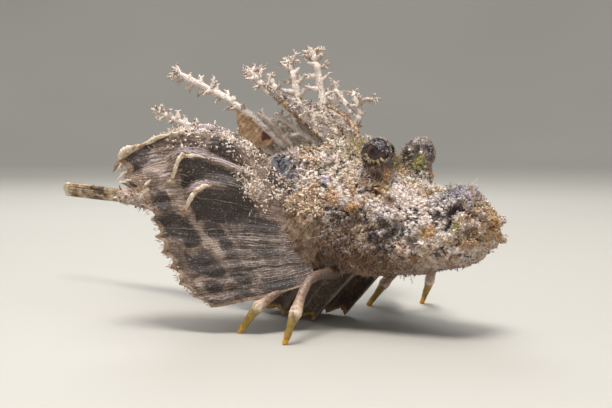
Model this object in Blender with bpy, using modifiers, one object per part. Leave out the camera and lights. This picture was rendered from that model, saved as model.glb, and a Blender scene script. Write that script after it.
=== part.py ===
"""A spiny devilfish walking on its free pectoral rays, as a life-size museum model in separate named parts.

Every size and place is in millimetres until a mesh is made: x runs forward from the point between the eyes,
y to the fish's left and z up from the floor. The finished model is then moved so that its origin is on the
floor, under the middle of its outline.
"""

import math
import random

import bmesh
import bpy
import numpy as np
from mathutils import Euler, Matrix, Vector, noise

MM = 0.001
GAP = 0.3  # clearance between neighbouring parts
RIGHT, LEFT = -1, 1
PARTS, CUTTERS = "Spiny devilfish", "Cutters"

# Body stations from snout to tail root: x, top, bottom, half width, level of the widest point, squareness
STATIONS = (
    (30.5, 34.8, 23.5, 8.4, 29.5, 2.5),
    (23.0, 39.0, 19.5, 10.4, 28.5, 2.5),
    (13.0, 38.5, 17.0, 12.0, 27.0, 2.4),
    (4.0, 43.0, 15.5, 14.5, 26.0, 2.3),
    (-6.0, 50.5, 14.6, 17.0, 26.5, 2.2),
    (-16.0, 52.5, 14.0, 17.2, 27.5, 2.1),
    (-35.0, 50.8, 14.6, 14.2, 29.0, 2.0),
    (-52.0, 47.0, 17.4, 11.0, 30.5, 2.0),
    (-70.0, 42.3, 21.0, 8.0, 31.2, 2.0),
    (-88.0, 38.3, 24.6, 5.4, 31.8, 2.0),
    (-104.0, 35.9, 28.3, 3.6, 32.2, 2.0),
    (-120.0, 35.6, 30.0, 2.5, 32.8, 2.0),
)
BACK_ROOF = 0.35  # how much steeper the back is than the belly
NOSE_START, NOSE_END, NOSE_POWER, NOSE_TIP = 20.0, 31.0, 2.6, 30.2
JAW_BACK = -2.0
GILL_X, TRUNK_END, STALK_END = -10.0, -78.0, -118.0
GILL_SWEEP, THROAT_SWEEP, GILL_REACH = 7.5, 5.0, 15.0

EYE_X, EYE_Y, EYE_Z, EYE_RADIUS = 0.4, 10.3, 49.2, 3.3
EYE_LOOK = (0.30, 0.93, 0.12)
TURRET_SIZE = (5.1, 4.7, 8.8)
TURRET_Y, TURRET_Z = 9.2, 45.6

MOUTH_TOP, MOUTH_CORNER, JAW_HEEL = (34.0, 42.0), (14.5, 24.0), (9.0, 8.0)
LIP_HEIGHT, LIP_WIDTH = 1.0, 1.3
NOSTRIL_BASE, NOSTRIL_TOP, NOSTRIL_RADIUS = (19.5, 4.6, 37.0), (20.5, 5.4, 41.8), 1.1
HEAD_FLAPS, JAW_FLAPS, TRUNK_FLAPS = 34, 16, 14

# Free pectoral rays: where they leave the chest, the knee, the shin and the foot on the floor, right side
FREE_RAYS = {
    "front": ((-12.5, 13.0, 16.5), (-7.5, 29.0, 17.5), (-6.0, 37.0, 9.0), (-8.5, 38.5, -1.0)),
    "rear": ((-18.5, 12.0, 15.0), (-19.5, 26.0, 13.5), (-23.0, 32.5, 8.5), (-29.0, 34.0, -1.0)),
}
LEFT_STEPS = {"front": Vector((-11.5, 3.0, 0.0)), "rear": Vector((-1.5, -7.0, 0.0))}
FREE_RAY_RADII = (2.1, 1.7, 1.5, 1.4, 1.4, 1.5, 1.9, 1.45, 1.4, 1.35, 1.25, 1.1, 0.95)

# Pectoral fan, right side: ray tips from top to bottom, how far each ray arches up, and its root line
PECTORAL_RAYS = 13
PECTORAL_TIPS = (
    (-57.5, 41.0, 51.0),
    (-56.0, 53.5, 45.0),
    (-49.5, 50.5, 38.0),
    (-47.5, 48.5, 30.0),
    (-45.0, 47.0, 22.0),
    (-41.0, 45.0, 14.0),
    (-33.5, 39.5, 8.5),
)
PECTORAL_ARCH = (8.5, 6.5, 3.5, 1.5, 0.5, 0.0, -0.5)
PECTORAL_BOW, PECTORAL_PLEAT = 3.0, 0.9
PECTORAL_TOP, PECTORAL_BOTTOM = (-26.0, 17.5, 40.5), (-17.5, 18.5, 20.5)
TERRACES, TERRACE_START, TERRACE_SPAN, TERRACE_DEPTH, TREAD = 3, 0.08, 0.167, 5.0, 0.3

# Front dorsal spines from root to tip, the filaments on them and the side branches of each filament
FRONT_SPINES = (
    ((-12.5, 0.0, 47.0), (-16.5, 0.0, 57.0), (-28.0, 0.0, 64.0)),
    ((-16.0, 0.0, 48.0), (-21.5, 0.0, 57.0), (-35.5, -2.0, 64.5)),
    ((-20.0, 0.0, 48.0), (-35.5, -4.0, 61.0), (-45.5, -7.5, 69.5)),
)
FRONT_FILAMENTS = (
    (((-27.0, 0.0, 63.4), (-29.0, 0.0, 72.0), (-30.5, 0.0, 79.0)), 10),
    (((-34.5, -2.0, 63.9), (-35.7, -3.0, 70.0), (-37.0, -3.0, 75.5)), 9),
    (((-43.0, -6.8, 67.2), (-46.0, -7.8, 70.3), (-48.0, -8.0, 72.5)), 7),
    (((-17.5, 0.5, 57.5), (-15.5, 2.0, 63.5), (-15.5, 2.0, 68.5)), 7),
)

# Rear dorsal spines: root x of the first and last, and the two that stand far out to the right
REAR_SPINES, REAR_START, REAR_END = 13, -27.0, -80.0
LONG_SPINES = {3: ((-71.0, -16.0, 72.5), 11), 8: ((-90.0, -11.0, 60.8), 8)}

COLOURS = {
    "skin": ((0.50, 0.40, 0.30), 0.8),
    "fin": ((0.30, 0.22, 0.17), 0.7),
    "tassel": ((0.72, 0.62, 0.52), 0.75),
    "eye": ((0.10, 0.07, 0.05), 0.15),
    "ray": ((0.55, 0.38, 0.14), 0.5),
}


def clear_scene():
    """Empties the scene and gives the parts and the cutters a collection each."""
    for thing in list(bpy.data.objects):
        bpy.data.objects.remove(thing)
    for name in (PARTS, CUTTERS):
        bpy.context.scene.collection.children.link(bpy.data.collections.new(name))


def material(name):
    """The named finish as a Principled material, made once."""
    found = bpy.data.materials.get(name)
    if found:
        return found
    colour, roughness = COLOURS[name]
    made = bpy.data.materials.new(name)
    made.use_nodes = True
    shader = made.node_tree.nodes["Principled BSDF"]
    shader.inputs["Base Color"].default_value = (*colour, 1.0)
    shader.inputs["Roughness"].default_value = roughness
    shader.inputs["Metallic"].default_value = 0.0
    return made


def ease(places, values, at):
    """A smooth curve through (places, values), read at `at`; places run upward."""
    places = np.asarray(places, float)
    values = np.asarray(values, float)
    slopes = np.gradient(values, places)
    at = min(max(at, places[0]), places[-1])
    i = int(np.clip(np.searchsorted(places, at) - 1, 0, len(places) - 2))
    span = places[i + 1] - places[i]
    t = (at - places[i]) / span
    return float(
        values[i] * (2 * t**3 - 3 * t**2 + 1)
        + values[i + 1] * (3 * t**2 - 2 * t**3)
        + slopes[i] * span * (t**3 - 2 * t**2 + t)
        + slopes[i + 1] * span * (t**3 - t**2)
    )


def station(x):
    """Top, bottom, half width, widest level and squareness of the body at x."""
    table = np.array(STATIONS)[::-1]
    return [ease(table[:, 0], table[:, column], x) for column in range(1, 6)]


def bump(value, centre, width):
    return math.exp(-(((value - centre) / width) ** 2))


def mouth_distance(x, z):
    """Signed distance of a side-view point from the line of the mouth."""
    top, corner = Vector(MOUTH_TOP), Vector(MOUTH_CORNER)
    along = (top - corner).normalized()
    return (Vector((x, z)) - corner).cross(along), (Vector((x, z)) - corner).dot(along)


def relief(x, angle, z):
    """How far the skin stands out from the plain body form: brows, cheek ridges, lips and warts."""
    side, rise = abs(math.cos(angle)), math.sin(angle)
    out = -2.6 * bump(x, 0.5, 6.5) * bump(side, 0.0, 0.42) * max(0.0, rise)
    out += 0.9 * bump(x, 21.0, 4.5) * bump(side, 0.0, 0.6) * max(0.0, rise)
    out += 1.6 * bump(rise, -0.15 - 0.012 * x, 0.2) * bump(x, 4.0, 17.0)
    out += 1.3 * bump(x, -6.0, 4.0) * bump(rise, -0.35, 0.35)
    out += 1.4 * bump(x, 7.0, 6.0) * bump(side, 0.62, 0.2) * max(0.0, rise)
    distance, along = mouth_distance(x, z)
    if along > -2.0:
        out += LIP_HEIGHT * bump(distance, 0.0, LIP_WIDTH)
    return out


def body_point(u, angle, grow=0.0):
    """The skin at station u and an angle round the section, from the left side up over the back."""
    top, bottom, half_width, level, squareness = station(u)
    cosine, sine = math.cos(angle), math.sin(angle)
    height = top - level if sine > 0 else level - bottom
    roof = BACK_ROOF * min(1.0, max(0.0, (6.0 - u) / 14.0)) if sine > 0 else 0.0
    shape = 2.0 / (squareness - roof)
    taper = 1.0
    if u > NOSE_START:
        taper = (1 - ((u - NOSE_START) / (NOSE_END - NOSE_START)) ** NOSE_POWER) ** (1 / NOSE_POWER)
    y = math.copysign(abs(cosine) ** shape, cosine) * half_width * taper
    z = math.copysign(abs(sine) ** shape, sine) * height * taper
    sweep = -GILL_SWEEP * cosine**2 + THROAT_SWEEP * max(0.0, -sine) ** 2
    x = u + sweep * bump(u, GILL_X, GILL_REACH)
    normal = Vector((y / half_width**2, z / height**2)).normalized()
    lift = relief(x, angle, level + z) * taper
    rough = noise.noise(Vector((x, y, z)) * 0.23) * 0.9 * bump(x, 0.0, 60.0)
    out = normal * (lift + rough + grow)
    return Vector((x, y + out.x, level + z + out.y))


def body_normal(u, angle):
    """The outward direction of the skin at that place."""
    here = body_point(u, angle)
    along = body_point(u + 0.5, angle) - here
    around = body_point(u, angle + 0.05) - here
    return around.cross(along).normalized()


def ring(u, sides, grow=0.0):
    return [body_point(u, math.tau * i / sides, grow) for i in range(sides)]


def add_object(name, bm, finish, home=PARTS):
    """Turns a mesh made in millimetres into an object in metres."""
    bmesh.ops.scale(bm, vec=(MM, MM, MM), verts=bm.verts)
    mesh = bpy.data.meshes.new(name)
    bm.to_mesh(mesh)
    bm.free()
    mesh.materials.append(material(finish))
    made = bpy.data.objects.new(name, mesh)
    bpy.data.collections[home].objects.link(made)
    return made


def loft(name, rings, finish, home=PARTS):
    """A closed skin over a row of rings with as many points each, with a fan at either end."""
    bm = bmesh.new()
    rows = [[bm.verts.new(point) for point in points] for points in rings]
    sides = len(rows[0])
    for first, second in zip(rows, rows[1:]):
        for i in range(sides):
            j = (i + 1) % sides
            bm.faces.new((first[i], first[j], second[j], second[i]))
    for row in (rows[0], rows[-1]):
        middle = bm.verts.new(sum((v.co for v in row), Vector()) / sides)
        for i in range(sides):
            bm.faces.new((row[(i + 1) % sides], row[i], middle))
    bmesh.ops.recalc_face_normals(bm, faces=bm.faces)
    return add_object(name, bm, finish, home)


def body_length(name, start, end, steps, sides, grow=0.0, home=PARTS):
    """A length of the body between two stations."""
    stations = [start + (end - start) * i / steps for i in range(steps + 1)]
    return loft(name, [ring(u, sides, grow) for u in stations], "skin", home)


def ellipsoid(name, centre, radii, finish, turn=(0.0, 0.0, 0.0), segments=14):
    bm = bmesh.new()
    bmesh.ops.create_uvsphere(bm, u_segments=segments, v_segments=segments // 2 + 2, radius=1.0)
    turned = Euler([math.radians(angle) for angle in turn]).to_matrix().to_4x4()
    bm.transform(Matrix.Translation(centre) @ turned @ Matrix.Diagonal((*radii, 1.0)))
    return add_object(name, bm, finish)


def pointing(start, direction):
    """A matrix that carries +Z onto the direction, at the start point."""
    return Matrix.Translation(start) @ direction.to_track_quat("Z", "Y").to_matrix().to_4x4()


def spike(name, start, tip, radius, finish, sides=4, flat=1.0):
    """A tapered point from start to tip, flattened across its width where flat is under 1."""
    bm = bmesh.new()
    reach = Vector(tip) - Vector(start)
    shift = Matrix.Translation((0.0, 0.0, reach.length / 2)) @ Matrix.Diagonal((1.0, flat, 1.0, 1.0))
    bmesh.ops.create_cone(
        bm,
        cap_ends=True,
        segments=sides,
        radius1=radius,
        radius2=radius * 0.3,
        depth=reach.length,
        matrix=pointing(start, reach) @ shift,
    )
    return add_object(name, bm, finish)


def tube(name, points, radii, finish, fineness=0):
    """A tapered round rod through the points, made as a bevelled curve and turned into a mesh."""
    curve = bpy.data.curves.new(name, "CURVE")
    curve.dimensions = "3D"
    curve.bevel_depth = MM
    curve.bevel_resolution = fineness
    curve.use_fill_caps = True
    spline = curve.splines.new("POLY")
    spline.points.add(len(points) - 1)
    for knot, point, radius in zip(spline.points, points, radii):
        knot.co = (*(Vector(point) * MM), 1.0)
        knot.radius = radius
    guide = bpy.data.objects.new(name, curve)
    bpy.data.collections[PARTS].objects.link(guide)
    return baked(guide, finish)


def baked(source, finish):
    """Replaces a curve or a modified mesh with a plain mesh of the same shape, its seams welded."""
    graph = bpy.context.evaluated_depsgraph_get()
    mesh = bpy.data.meshes.new_from_object(source.evaluated_get(graph))
    bm = bmesh.new()
    bm.from_mesh(mesh)
    bmesh.ops.remove_doubles(bm, verts=bm.verts, dist=0.005 * MM)
    bmesh.ops.dissolve_degenerate(bm, edges=bm.edges, dist=0.002 * MM)
    bmesh.ops.recalc_face_normals(bm, faces=bm.faces)
    bm.to_mesh(mesh)
    bm.free()
    mesh.materials.clear()
    mesh.materials.append(material(finish))
    name = source.name
    bpy.data.objects.remove(source)
    made = bpy.data.objects.new(name, mesh)
    bpy.data.collections[PARTS].objects.link(made)
    return made


def smooth_path(points, steps):
    """A rounded line through a few points, as a Catmull-Rom curve."""
    knots = [Vector(p) for p in points]
    knots = [2 * knots[0] - knots[1], *knots, 2 * knots[-1] - knots[-2]]
    line = []
    for a, b, c, d in zip(knots, knots[1:], knots[2:], knots[3:]):
        for i in range(steps):
            t = i / steps
            line.append(
                0.5 * (2 * b + (c - a) * t + (2 * a - 5 * b + 4 * c - d) * t**2
                       + (3 * b - a - 3 * c + d) * t**3)
            )
    return [*line, knots[-2]]


def fan(name, root, tip, rays, finish, steps=5, notch=0.1, lift=None, thick=1.2, thin=0.55):
    """A fin of rays joined by thinner membrane, with steps along each ray.

    root and tip give the ends of the ray at a share t across. lift moves the point a share u along it: it
    returns how far it goes out of the plane of the fin, and up.
    """
    bm = bmesh.new()
    weights = bm.verts.layers.deform.verify()
    columns = 2 * rays - 1
    grid = []
    for j in range(columns):
        t = j / (columns - 1)
        start, end = root(t), tip(t)
        low, high = max(0.0, t - 0.5 / columns), min(1.0, t + 0.5 / columns)
        across = root(high) + tip(high) - root(low) - tip(low)
        out = (end - start).cross(across).normalized()
        webbed = j % 2 == 1
        column = []
        for i in range(steps + 1):
            u = i / steps * (1 - notch if webbed else 1)
            outward, upward = lift(t, u, webbed) if lift else (0.0, 0.0)
            vert = bm.verts.new(start.lerp(end, u) + out * outward + Vector((0.0, 0.0, upward)))
            vert[weights][0] = 0.0 if webbed else 1.0 - 0.45 * u
            column.append(vert)
        grid.append(column)
    for left, right in zip(grid, grid[1:]):
        for i in range(steps):
            bm.faces.new((left[i], right[i], right[i + 1], left[i + 1]))
    bmesh.ops.triangulate(bm, faces=bm.faces)
    sheet = add_object(name, bm, finish)
    sheet.vertex_groups.new(name="rays")
    solid = sheet.modifiers.new("Thickness", "SOLIDIFY")
    solid.thickness = thick * MM
    solid.offset = 0.0
    solid.vertex_group = "rays"
    solid.thickness_vertex_group = thin / thick
    return baked(sheet, finish)


def boolean(target, operation, other=None, group=None):
    """Applies one Boolean with an object or a collection to the target's mesh, and drops loose scraps."""
    cut = target.modifiers.new(operation.title(), "BOOLEAN")
    cut.operation = operation
    cut.solver = "MANIFOLD"
    if group:
        cut.operand_type = "COLLECTION"
        cut.collection = group
    else:
        cut.object = other
    graph = bpy.context.evaluated_depsgraph_get()
    mesh = bpy.data.meshes.new_from_object(target.evaluated_get(graph))
    target.modifiers.clear()
    target.data = mesh
    keep_largest(target)


def keep_largest(target):
    """Drops every closed surface of the mesh but the one with the most area."""
    bm = bmesh.new()
    bm.from_mesh(target.data)
    unseen = set(bm.faces)
    shells = []
    while unseen:
        shell, waiting = set(), [unseen.pop()]
        while waiting:
            face = waiting.pop()
            shell.add(face)
            for edge in face.edges:
                for other in edge.link_faces:
                    if other in unseen:
                        unseen.discard(other)
                        waiting.append(other)
        shells.append(shell)
    largest = max(shells, key=lambda shell: sum(face.calc_area() for face in shell))
    scraps = [face for shell in shells if shell is not largest for face in shell]
    bmesh.ops.delete(bm, geom=scraps, context="FACES")
    bm.to_mesh(target.data)
    bm.free()


def fuse(target, pieces):
    """Joins the pieces to the target as one closed body and removes them."""
    group = bpy.data.collections.new("Fused")
    bpy.context.scene.collection.children.link(group)
    for piece in pieces:
        group.objects.link(piece)
    boolean(target, "UNION", group=group)
    for piece in pieces:
        bpy.data.objects.remove(piece)
    bpy.data.collections.remove(group)


def carve(target, *cutters):
    """Cuts the target back from each cutter."""
    for cutter in cutters:
        boolean(target, "DIFFERENCE", other=cutter)


def block(name, low, high):
    bm = bmesh.new()
    bmesh.ops.create_cube(bm, size=1.0)
    middle = (Vector(low) + Vector(high)) / 2
    bm.transform(Matrix.Translation(middle) @ Matrix.Diagonal((*(Vector(high) - Vector(low)), 1.0)))
    return add_object(name, bm, "skin", CUTTERS)


def jaw_wedge(name, inset):
    """The wedge of space in front of the mouth line and the heel of the jaw, drawn back by the inset."""
    along = (Vector(MOUTH_TOP) - Vector(MOUTH_CORNER)).normalized()
    shift = Vector((along.y, -along.x)) * inset
    back = Vector((inset, 0.0))
    outline = [Vector(MOUTH_TOP) + shift, Vector(MOUTH_CORNER) + shift, Vector(JAW_HEEL) + back]
    outline += [Vector((40.0, JAW_HEEL[1])), Vector((40.0, MOUTH_TOP[1] + 1.5))]
    rings = [[Vector((p.x, y, p.y)) for p in outline] for y in (-25.0, 25.0)]
    return loft(name, rings, "skin", CUTTERS)


def eye_place(side):
    forward, outward, upward = EYE_LOOK
    return Vector((EYE_X, side * EYE_Y, EYE_Z)), Vector((forward, side * outward, upward)).normalized()


def flaps(count, first, last, low, high, seed, length=1.7, keep=None):
    """Short flattened tabs of skin standing on the body between two stations and two angles, in degrees."""
    draw = random.Random(seed)
    pieces = []
    while len(pieces) < count:
        u = draw.uniform(first, last)
        angle = math.radians(draw.uniform(low, high))
        start = body_point(u, angle)
        if keep and not keep(start):
            continue
        out = (body_normal(u, angle) + Vector((-0.35, 0.0, draw.uniform(-0.3, 0.3)))).normalized()
        tip = start + out * length * draw.uniform(0.6, 1.3)
        pieces.append(spike("flap", start - out * 1.2, tip, draw.uniform(1.3, 2.2), "skin", flat=0.7))
    return pieces


def build_head():
    head = body_length("head", NOSE_TIP, GILL_X, 20, 28)
    jaw = body_length("lower_jaw", NOSE_TIP, JAW_BACK, 18, 28)
    pieces = flaps(HEAD_FLAPS, -5.0, 24.0, -40.0, 220.0, seed=2, keep=lambda p: abs(p.y) > 1.5 or p.x > 12.0)
    for side in (RIGHT, LEFT):
        pieces.append(ellipsoid("turret", (0.0, side * TURRET_Y, TURRET_Z), TURRET_SIZE, "skin", segments=12))
        pieces.append(spike("brow", (1.0, side * 9.0, 51.5), (0.0, side * 9.5, 56.0), 1.0, "skin"))
        pieces.append(spike("brow", (-2.5, side * 9.2, 51.0), (-4.2, side * 10.0, 55.2), 0.9, "skin"))
        base, top = Vector(NOSTRIL_BASE), Vector(NOSTRIL_TOP)
        base.y, top.y = side * base.y, side * top.y
        pieces.append(spike("nostril", base, top, NOSTRIL_RADIUS, "skin", sides=6))
        pieces.append(lid(*eye_place(side)))
    fuse(head, pieces)
    socket_size = [EYE_RADIUS + GAP] * 3
    sockets = [ellipsoid("socket", eye_place(side)[0], socket_size, "skin", segments=12) for side in (RIGHT, LEFT)]
    wedge = jaw_wedge("wedge", -GAP / 2)
    carve(head, wedge, *sockets)
    fuse(jaw, flaps(JAW_FLAPS, 17.0, 30.0, -85.0, 265.0, seed=7, length=2.0, keep=below_mouth))
    wedge_in = jaw_wedge("wedge_in", GAP / 2)
    boolean(jaw, "INTERSECT", other=wedge_in)
    for helper in (wedge, wedge_in, *sockets):
        bpy.data.objects.remove(helper)
    for side, word in ((RIGHT, "right"), (LEFT, "left")):
        ellipsoid(f"eye_{word}", eye_place(side)[0], [EYE_RADIUS] * 3, "eye", segments=12)


def below_mouth(point):
    return mouth_distance(point.x, point.z)[0] > 1.5


def lid(centre, look):
    """The raised ring of skin round the eyeball."""
    bm = bmesh.new()
    turned = pointing(centre + look * 1.7, look)
    major, minor, around, through = 3.2, 0.95, 12, 5
    rows = []
    for i in range(around):
        turn = math.tau * i / around
        heart = Vector((math.cos(turn), math.sin(turn), 0.0))
        rows.append([
            bm.verts.new(turned @ (heart * (major + minor * math.cos(math.tau * j / through))
                                   + Vector((0.0, 0.0, minor * math.sin(math.tau * j / through)))))
            for j in range(through)
        ])
    for i in range(around):
        for j in range(through):
            k, m = (i + 1) % around, (j + 1) % through
            bm.faces.new((rows[i][j], rows[k][j], rows[k][m], rows[i][m]))
    bmesh.ops.recalc_face_normals(bm, faces=bm.faces)
    return add_object("lid", bm, "skin")


def build_body():
    trunk = body_length("trunk", GILL_X - GAP, TRUNK_END, 20, 26)
    left_flaps = flaps(TRUNK_FLAPS, -24.0, -70.0, 20.0, 70.0, seed=11)
    right_flaps = flaps(TRUNK_FLAPS, -24.0, -70.0, 110.0, 160.0, seed=12)
    fuse(trunk, left_flaps + right_flaps)
    body_length("tail_stalk", TRUNK_END - GAP, STALK_END, 8, 18)


def build_free_rays(body_cutter, floor):
    for side, word in ((RIGHT, "right"), (LEFT, "left")):
        for place, points in FREE_RAYS.items():
            path = [Vector(point) for point in points]
            if side == LEFT:
                path[2] += LEFT_STEPS[place] * 0.75
                path[3] += LEFT_STEPS[place]
            path = smooth_path([(p.x, side * p.y, p.z) for p in path], 4)
            ray = tube(f"free_ray_{place}_{word}", path, FREE_RAY_RADII, "ray", fineness=2)
            carve(ray, body_cutter, floor)


def terrace(t):
    """How far out the pleats of the upper fan stand: a quick tread, then a slow riser, a few times over."""
    place = (t - TERRACE_START) / TERRACE_SPAN
    if not 0.0 < place < TERRACES:
        return 0.0
    share = place % 1.0
    return share / TREAD if share < TREAD else (1.0 - share) / (1.0 - TREAD)


def build_pectorals(body_cutter):
    places = [i / 6 for i in range(7)]
    tips = list(zip(*PECTORAL_TIPS))
    top, bottom = Vector(PECTORAL_TOP), Vector(PECTORAL_BOTTOM)
    for side, word in ((RIGHT, "right"), (LEFT, "left")):

        def root(t):
            point = top.lerp(bottom, t)
            return Vector((point.x, side * point.y, point.z))

        def tip(t):
            x, y, z = (ease(places, axis, t) for axis in tips)
            return Vector((x, side * y, z))

        def lift(t, u, webbed):
            pleat = PECTORAL_PLEAT * math.sqrt(u) * (-0.5 if webbed else 0.5)
            out = PECTORAL_BOW * math.sin(math.pi * u) + TERRACE_DEPTH * terrace(t) * u**1.5 + pleat
            return -side * out, ease(places, PECTORAL_ARCH, t) * 4 * u * (1 - u)

        fin = fan(f"pectoral_fin_{word}", root, tip, PECTORAL_RAYS, "fin", steps=6, notch=0.07, lift=lift)
        lobe = ellipsoid("lobe", (-21.0, side * 18.0, 26.5), (5.5, 3.6, 11.5), "fin", turn=(0.0, 20.0, 0.0),
                         segments=12)
        fuse(fin, [lobe])
        carve(fin, body_cutter)


def build_pelvics(body_cutter, floor):
    for side, word in ((RIGHT, "right"), (LEFT, "left")):

        def root(t):
            return Vector((-8.0 - 40.0 * t, side * (7.0 - 2.5 * t), 17.0 + 2.5 * t))

        def tip(t):
            return Vector((-24.5 - 32.0 * t, side * (7.5 - 2.5 * t), -0.6 + 11.0 * max(0.0, t - 0.4) ** 1.3))

        def lift(t, u, webbed):
            return side * math.sin(math.pi * u), 0.0

        fin = fan(f"pelvic_fin_{word}", root, tip, 6, "fin", steps=4, notch=0.1, lift=lift, thick=1.5, thin=0.6)
        carve(fin, body_cutter, floor)


def branch(pieces, line, place, turn, reach, lean, radius=0.7):
    """One side branch of a filament: where it leaves the line, its turn round it, length and lean."""
    i = min(int(place), len(line) - 2)
    start = line[i].lerp(line[i + 1], place - i)
    along = (line[i + 1] - line[i]).normalized()
    side = along.cross(Vector((0.3, 1.0, 0.2))).normalized()
    direction = (Matrix.Rotation(turn, 3, along) @ side + along * lean).normalized()
    pieces.append(spike("branch", start - direction * 0.3, start + direction * reach, radius, "tassel"))


def filament(pieces, points, branches, seed, thick=1.0, first=0.25, reach=(3.2, 5.6)):
    """A fleshy filament with side branches that taper to points and a forked end."""
    draw = random.Random(seed)
    line = smooth_path(points, 2)
    radii = [thick * (1.0 - 0.6 * k / (len(line) - 1)) for k in range(len(line))]
    pieces.append(tube("stem", line, radii, "tassel"))
    for k in range(branches):
        share = first + (1.0 - first) * k / (branches - 1)
        turn = math.pi * (k % 2) + math.radians(draw.uniform(-60, 60))
        branch(pieces, line, share * (len(line) - 1) * 0.96, turn, draw.uniform(*reach), draw.uniform(0.2, 0.7))


def build_dorsal_front(body_cutter):
    first, last = ([Vector(p) for p in FRONT_SPINES[i]] for i in (0, 2))

    def root(t):
        return first[0].lerp(last[0], t)

    def tip(t):
        return (first[2] + Vector((1.5, 0.0, -1.5))).lerp(last[1], t)

    def lift(t, u, webbed):
        return 0.0, 2.5 * 4 * u * (1 - u) * (1 - t)

    web = fan("dorsal_fin_front", root, tip, 3, "tassel", steps=4, notch=0.12, lift=lift, thick=1.6, thin=1.0)
    pieces = []
    for points in FRONT_SPINES:
        line = smooth_path(points, 3)
        radii = [1.5 - 0.7 * k / (len(line) - 1) for k in range(len(line))]
        pieces.append(tube("spine", line, radii, "tassel"))
    for i, (points, branches) in enumerate(FRONT_FILAMENTS):
        filament(pieces, points, branches, seed=10 + i)
    fuse(web, pieces)
    carve(web, body_cutter)


def build_dorsal_spines(body_cutter):
    def root(t):
        x = REAR_START + (REAR_END - REAR_START) * t
        return Vector((x, 0.0, station(x)[0] - 2.0))

    def tip(t):
        return root(t) + Vector((-3.5, 0.0, 6.5 - 1.5 * t))

    web = fan("dorsal_fin_spines", root, tip, 8, "tassel", steps=2, notch=0.0, thick=1.8, thin=1.4)
    draw = random.Random(5)
    pieces = []
    for i in range(REAR_SPINES):
        share = i / (REAR_SPINES - 1)
        start = root(share)
        if i in LONG_SPINES:
            end, branches = LONG_SPINES[i]
            end = Vector(end)
            middle = start.lerp(end, 0.5) + Vector((0.0, 0.0, 1.0))
            filament(pieces, (start, middle, end), branches, seed=30 + i, thick=1.6, first=0.4)
            continue
        lean = math.radians(draw.uniform(46.0, 56.0))
        tilt = math.radians(draw.uniform(8.0, 22.0)) * (1 if i % 2 else -1)
        direction = Vector((-math.sin(lean), math.cos(lean) * math.sin(tilt), math.cos(lean) * math.cos(tilt)))
        end = start + direction * (18.0 - 4.0 * share + draw.uniform(-1.5, 1.5))
        points = (start, start.lerp(end, 0.5), end)
        filament(pieces, points, 3, seed=40 + i, thick=1.3, first=0.5, reach=(2.4, 4.0))
    fuse(web, pieces)
    carve(web, body_cutter)


def build_median_fins(body_cutter):
    def soft_root(t):
        x = -86.5 - 22.0 * t
        return Vector((x, 0.0, station(x)[0] - 1.5))

    def soft_tip(t):
        return soft_root(t) + Vector((-8.0 - 2.0 * t, 0.0, 8.0 - 4.5 * t))

    soft = fan("dorsal_fin_soft", soft_root, soft_tip, 8, "fin", steps=3, notch=0.12, thick=1.1, thin=0.55)
    carve(soft, body_cutter)

    def anal_root(t):
        x = -54.0 - 38.0 * t
        return Vector((x, 0.0, station(x)[1] + 1.5))

    def anal_tip(t):
        return anal_root(t) + Vector((-8.0, 0.0, -6.0 + 2.5 * t))

    anal = fan("anal_fin", anal_root, anal_tip, 9, "fin", steps=3, notch=0.12, thick=1.1, thin=0.55)
    carve(anal, body_cutter)

    def tail_root(t):
        return Vector((STALK_END + 2.0, 0.0, 34.8 - 4.0 * t))

    def tail_tip(t):
        return Vector((-150.0 + 1.5 * abs(2 * t - 1), 0.0, 36.3 - 4.4 * t))

    def tail_lift(t, u, webbed):
        return 0.8 * math.sqrt(u) * (-1 if webbed else 1), 0.7 * math.sin(math.pi * u) * (1 - 2 * t)

    tail = fan("caudal_fin", tail_root, tail_tip, 8, "fin", 5, notch=0.04, lift=tail_lift, thick=1.5, thin=0.9)
    carve(tail, body_cutter)


def set_origin():
    """Moves everything so that the origin is on the floor under the middle of the outline."""
    corners = [thing.matrix_world @ Vector(corner) for thing in bpy.data.objects for corner in thing.bound_box]
    low = Vector([min(corner[i] for corner in corners) for i in range(3)])
    high = Vector([max(corner[i] for corner in corners) for i in range(3)])
    shift = Matrix.Translation((-(low.x + high.x) / 2, -(low.y + high.y) / 2, -low.z))
    for thing in bpy.data.objects:
        thing.data.transform(shift)


def main():
    clear_scene()
    body_cutter = body_length("body_cutter", NOSE_TIP, STALK_END - GAP, 112, 56, GAP + 0.1, CUTTERS)
    floor = block("floor_cutter", (-160.0, -80.0, -20.0), (60.0, 80.0, 0.0))
    build_head()
    build_body()
    build_free_rays(body_cutter, floor)
    build_pectorals(body_cutter)
    build_pelvics(body_cutter, floor)
    build_dorsal_front(body_cutter)
    build_dorsal_spines(body_cutter)
    build_median_fins(body_cutter)
    bpy.data.objects.remove(body_cutter)
    bpy.data.objects.remove(floor)
    set_origin()


main()
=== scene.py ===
"""Looks of a life-size spiny devilfish that walks on its free rays: skin, crust, fins, tassels and eyes.

Sizes are in millimetres in the fish's own frame: x runs forward from the point between the eyes, y to the
fish's left and z up from the floor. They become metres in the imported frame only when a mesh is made.
"""

import itertools
import logging
import math
from abc import ABC, abstractmethod
from collections.abc import Callable, Sequence
from dataclasses import dataclass, field
from enum import Enum

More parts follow.
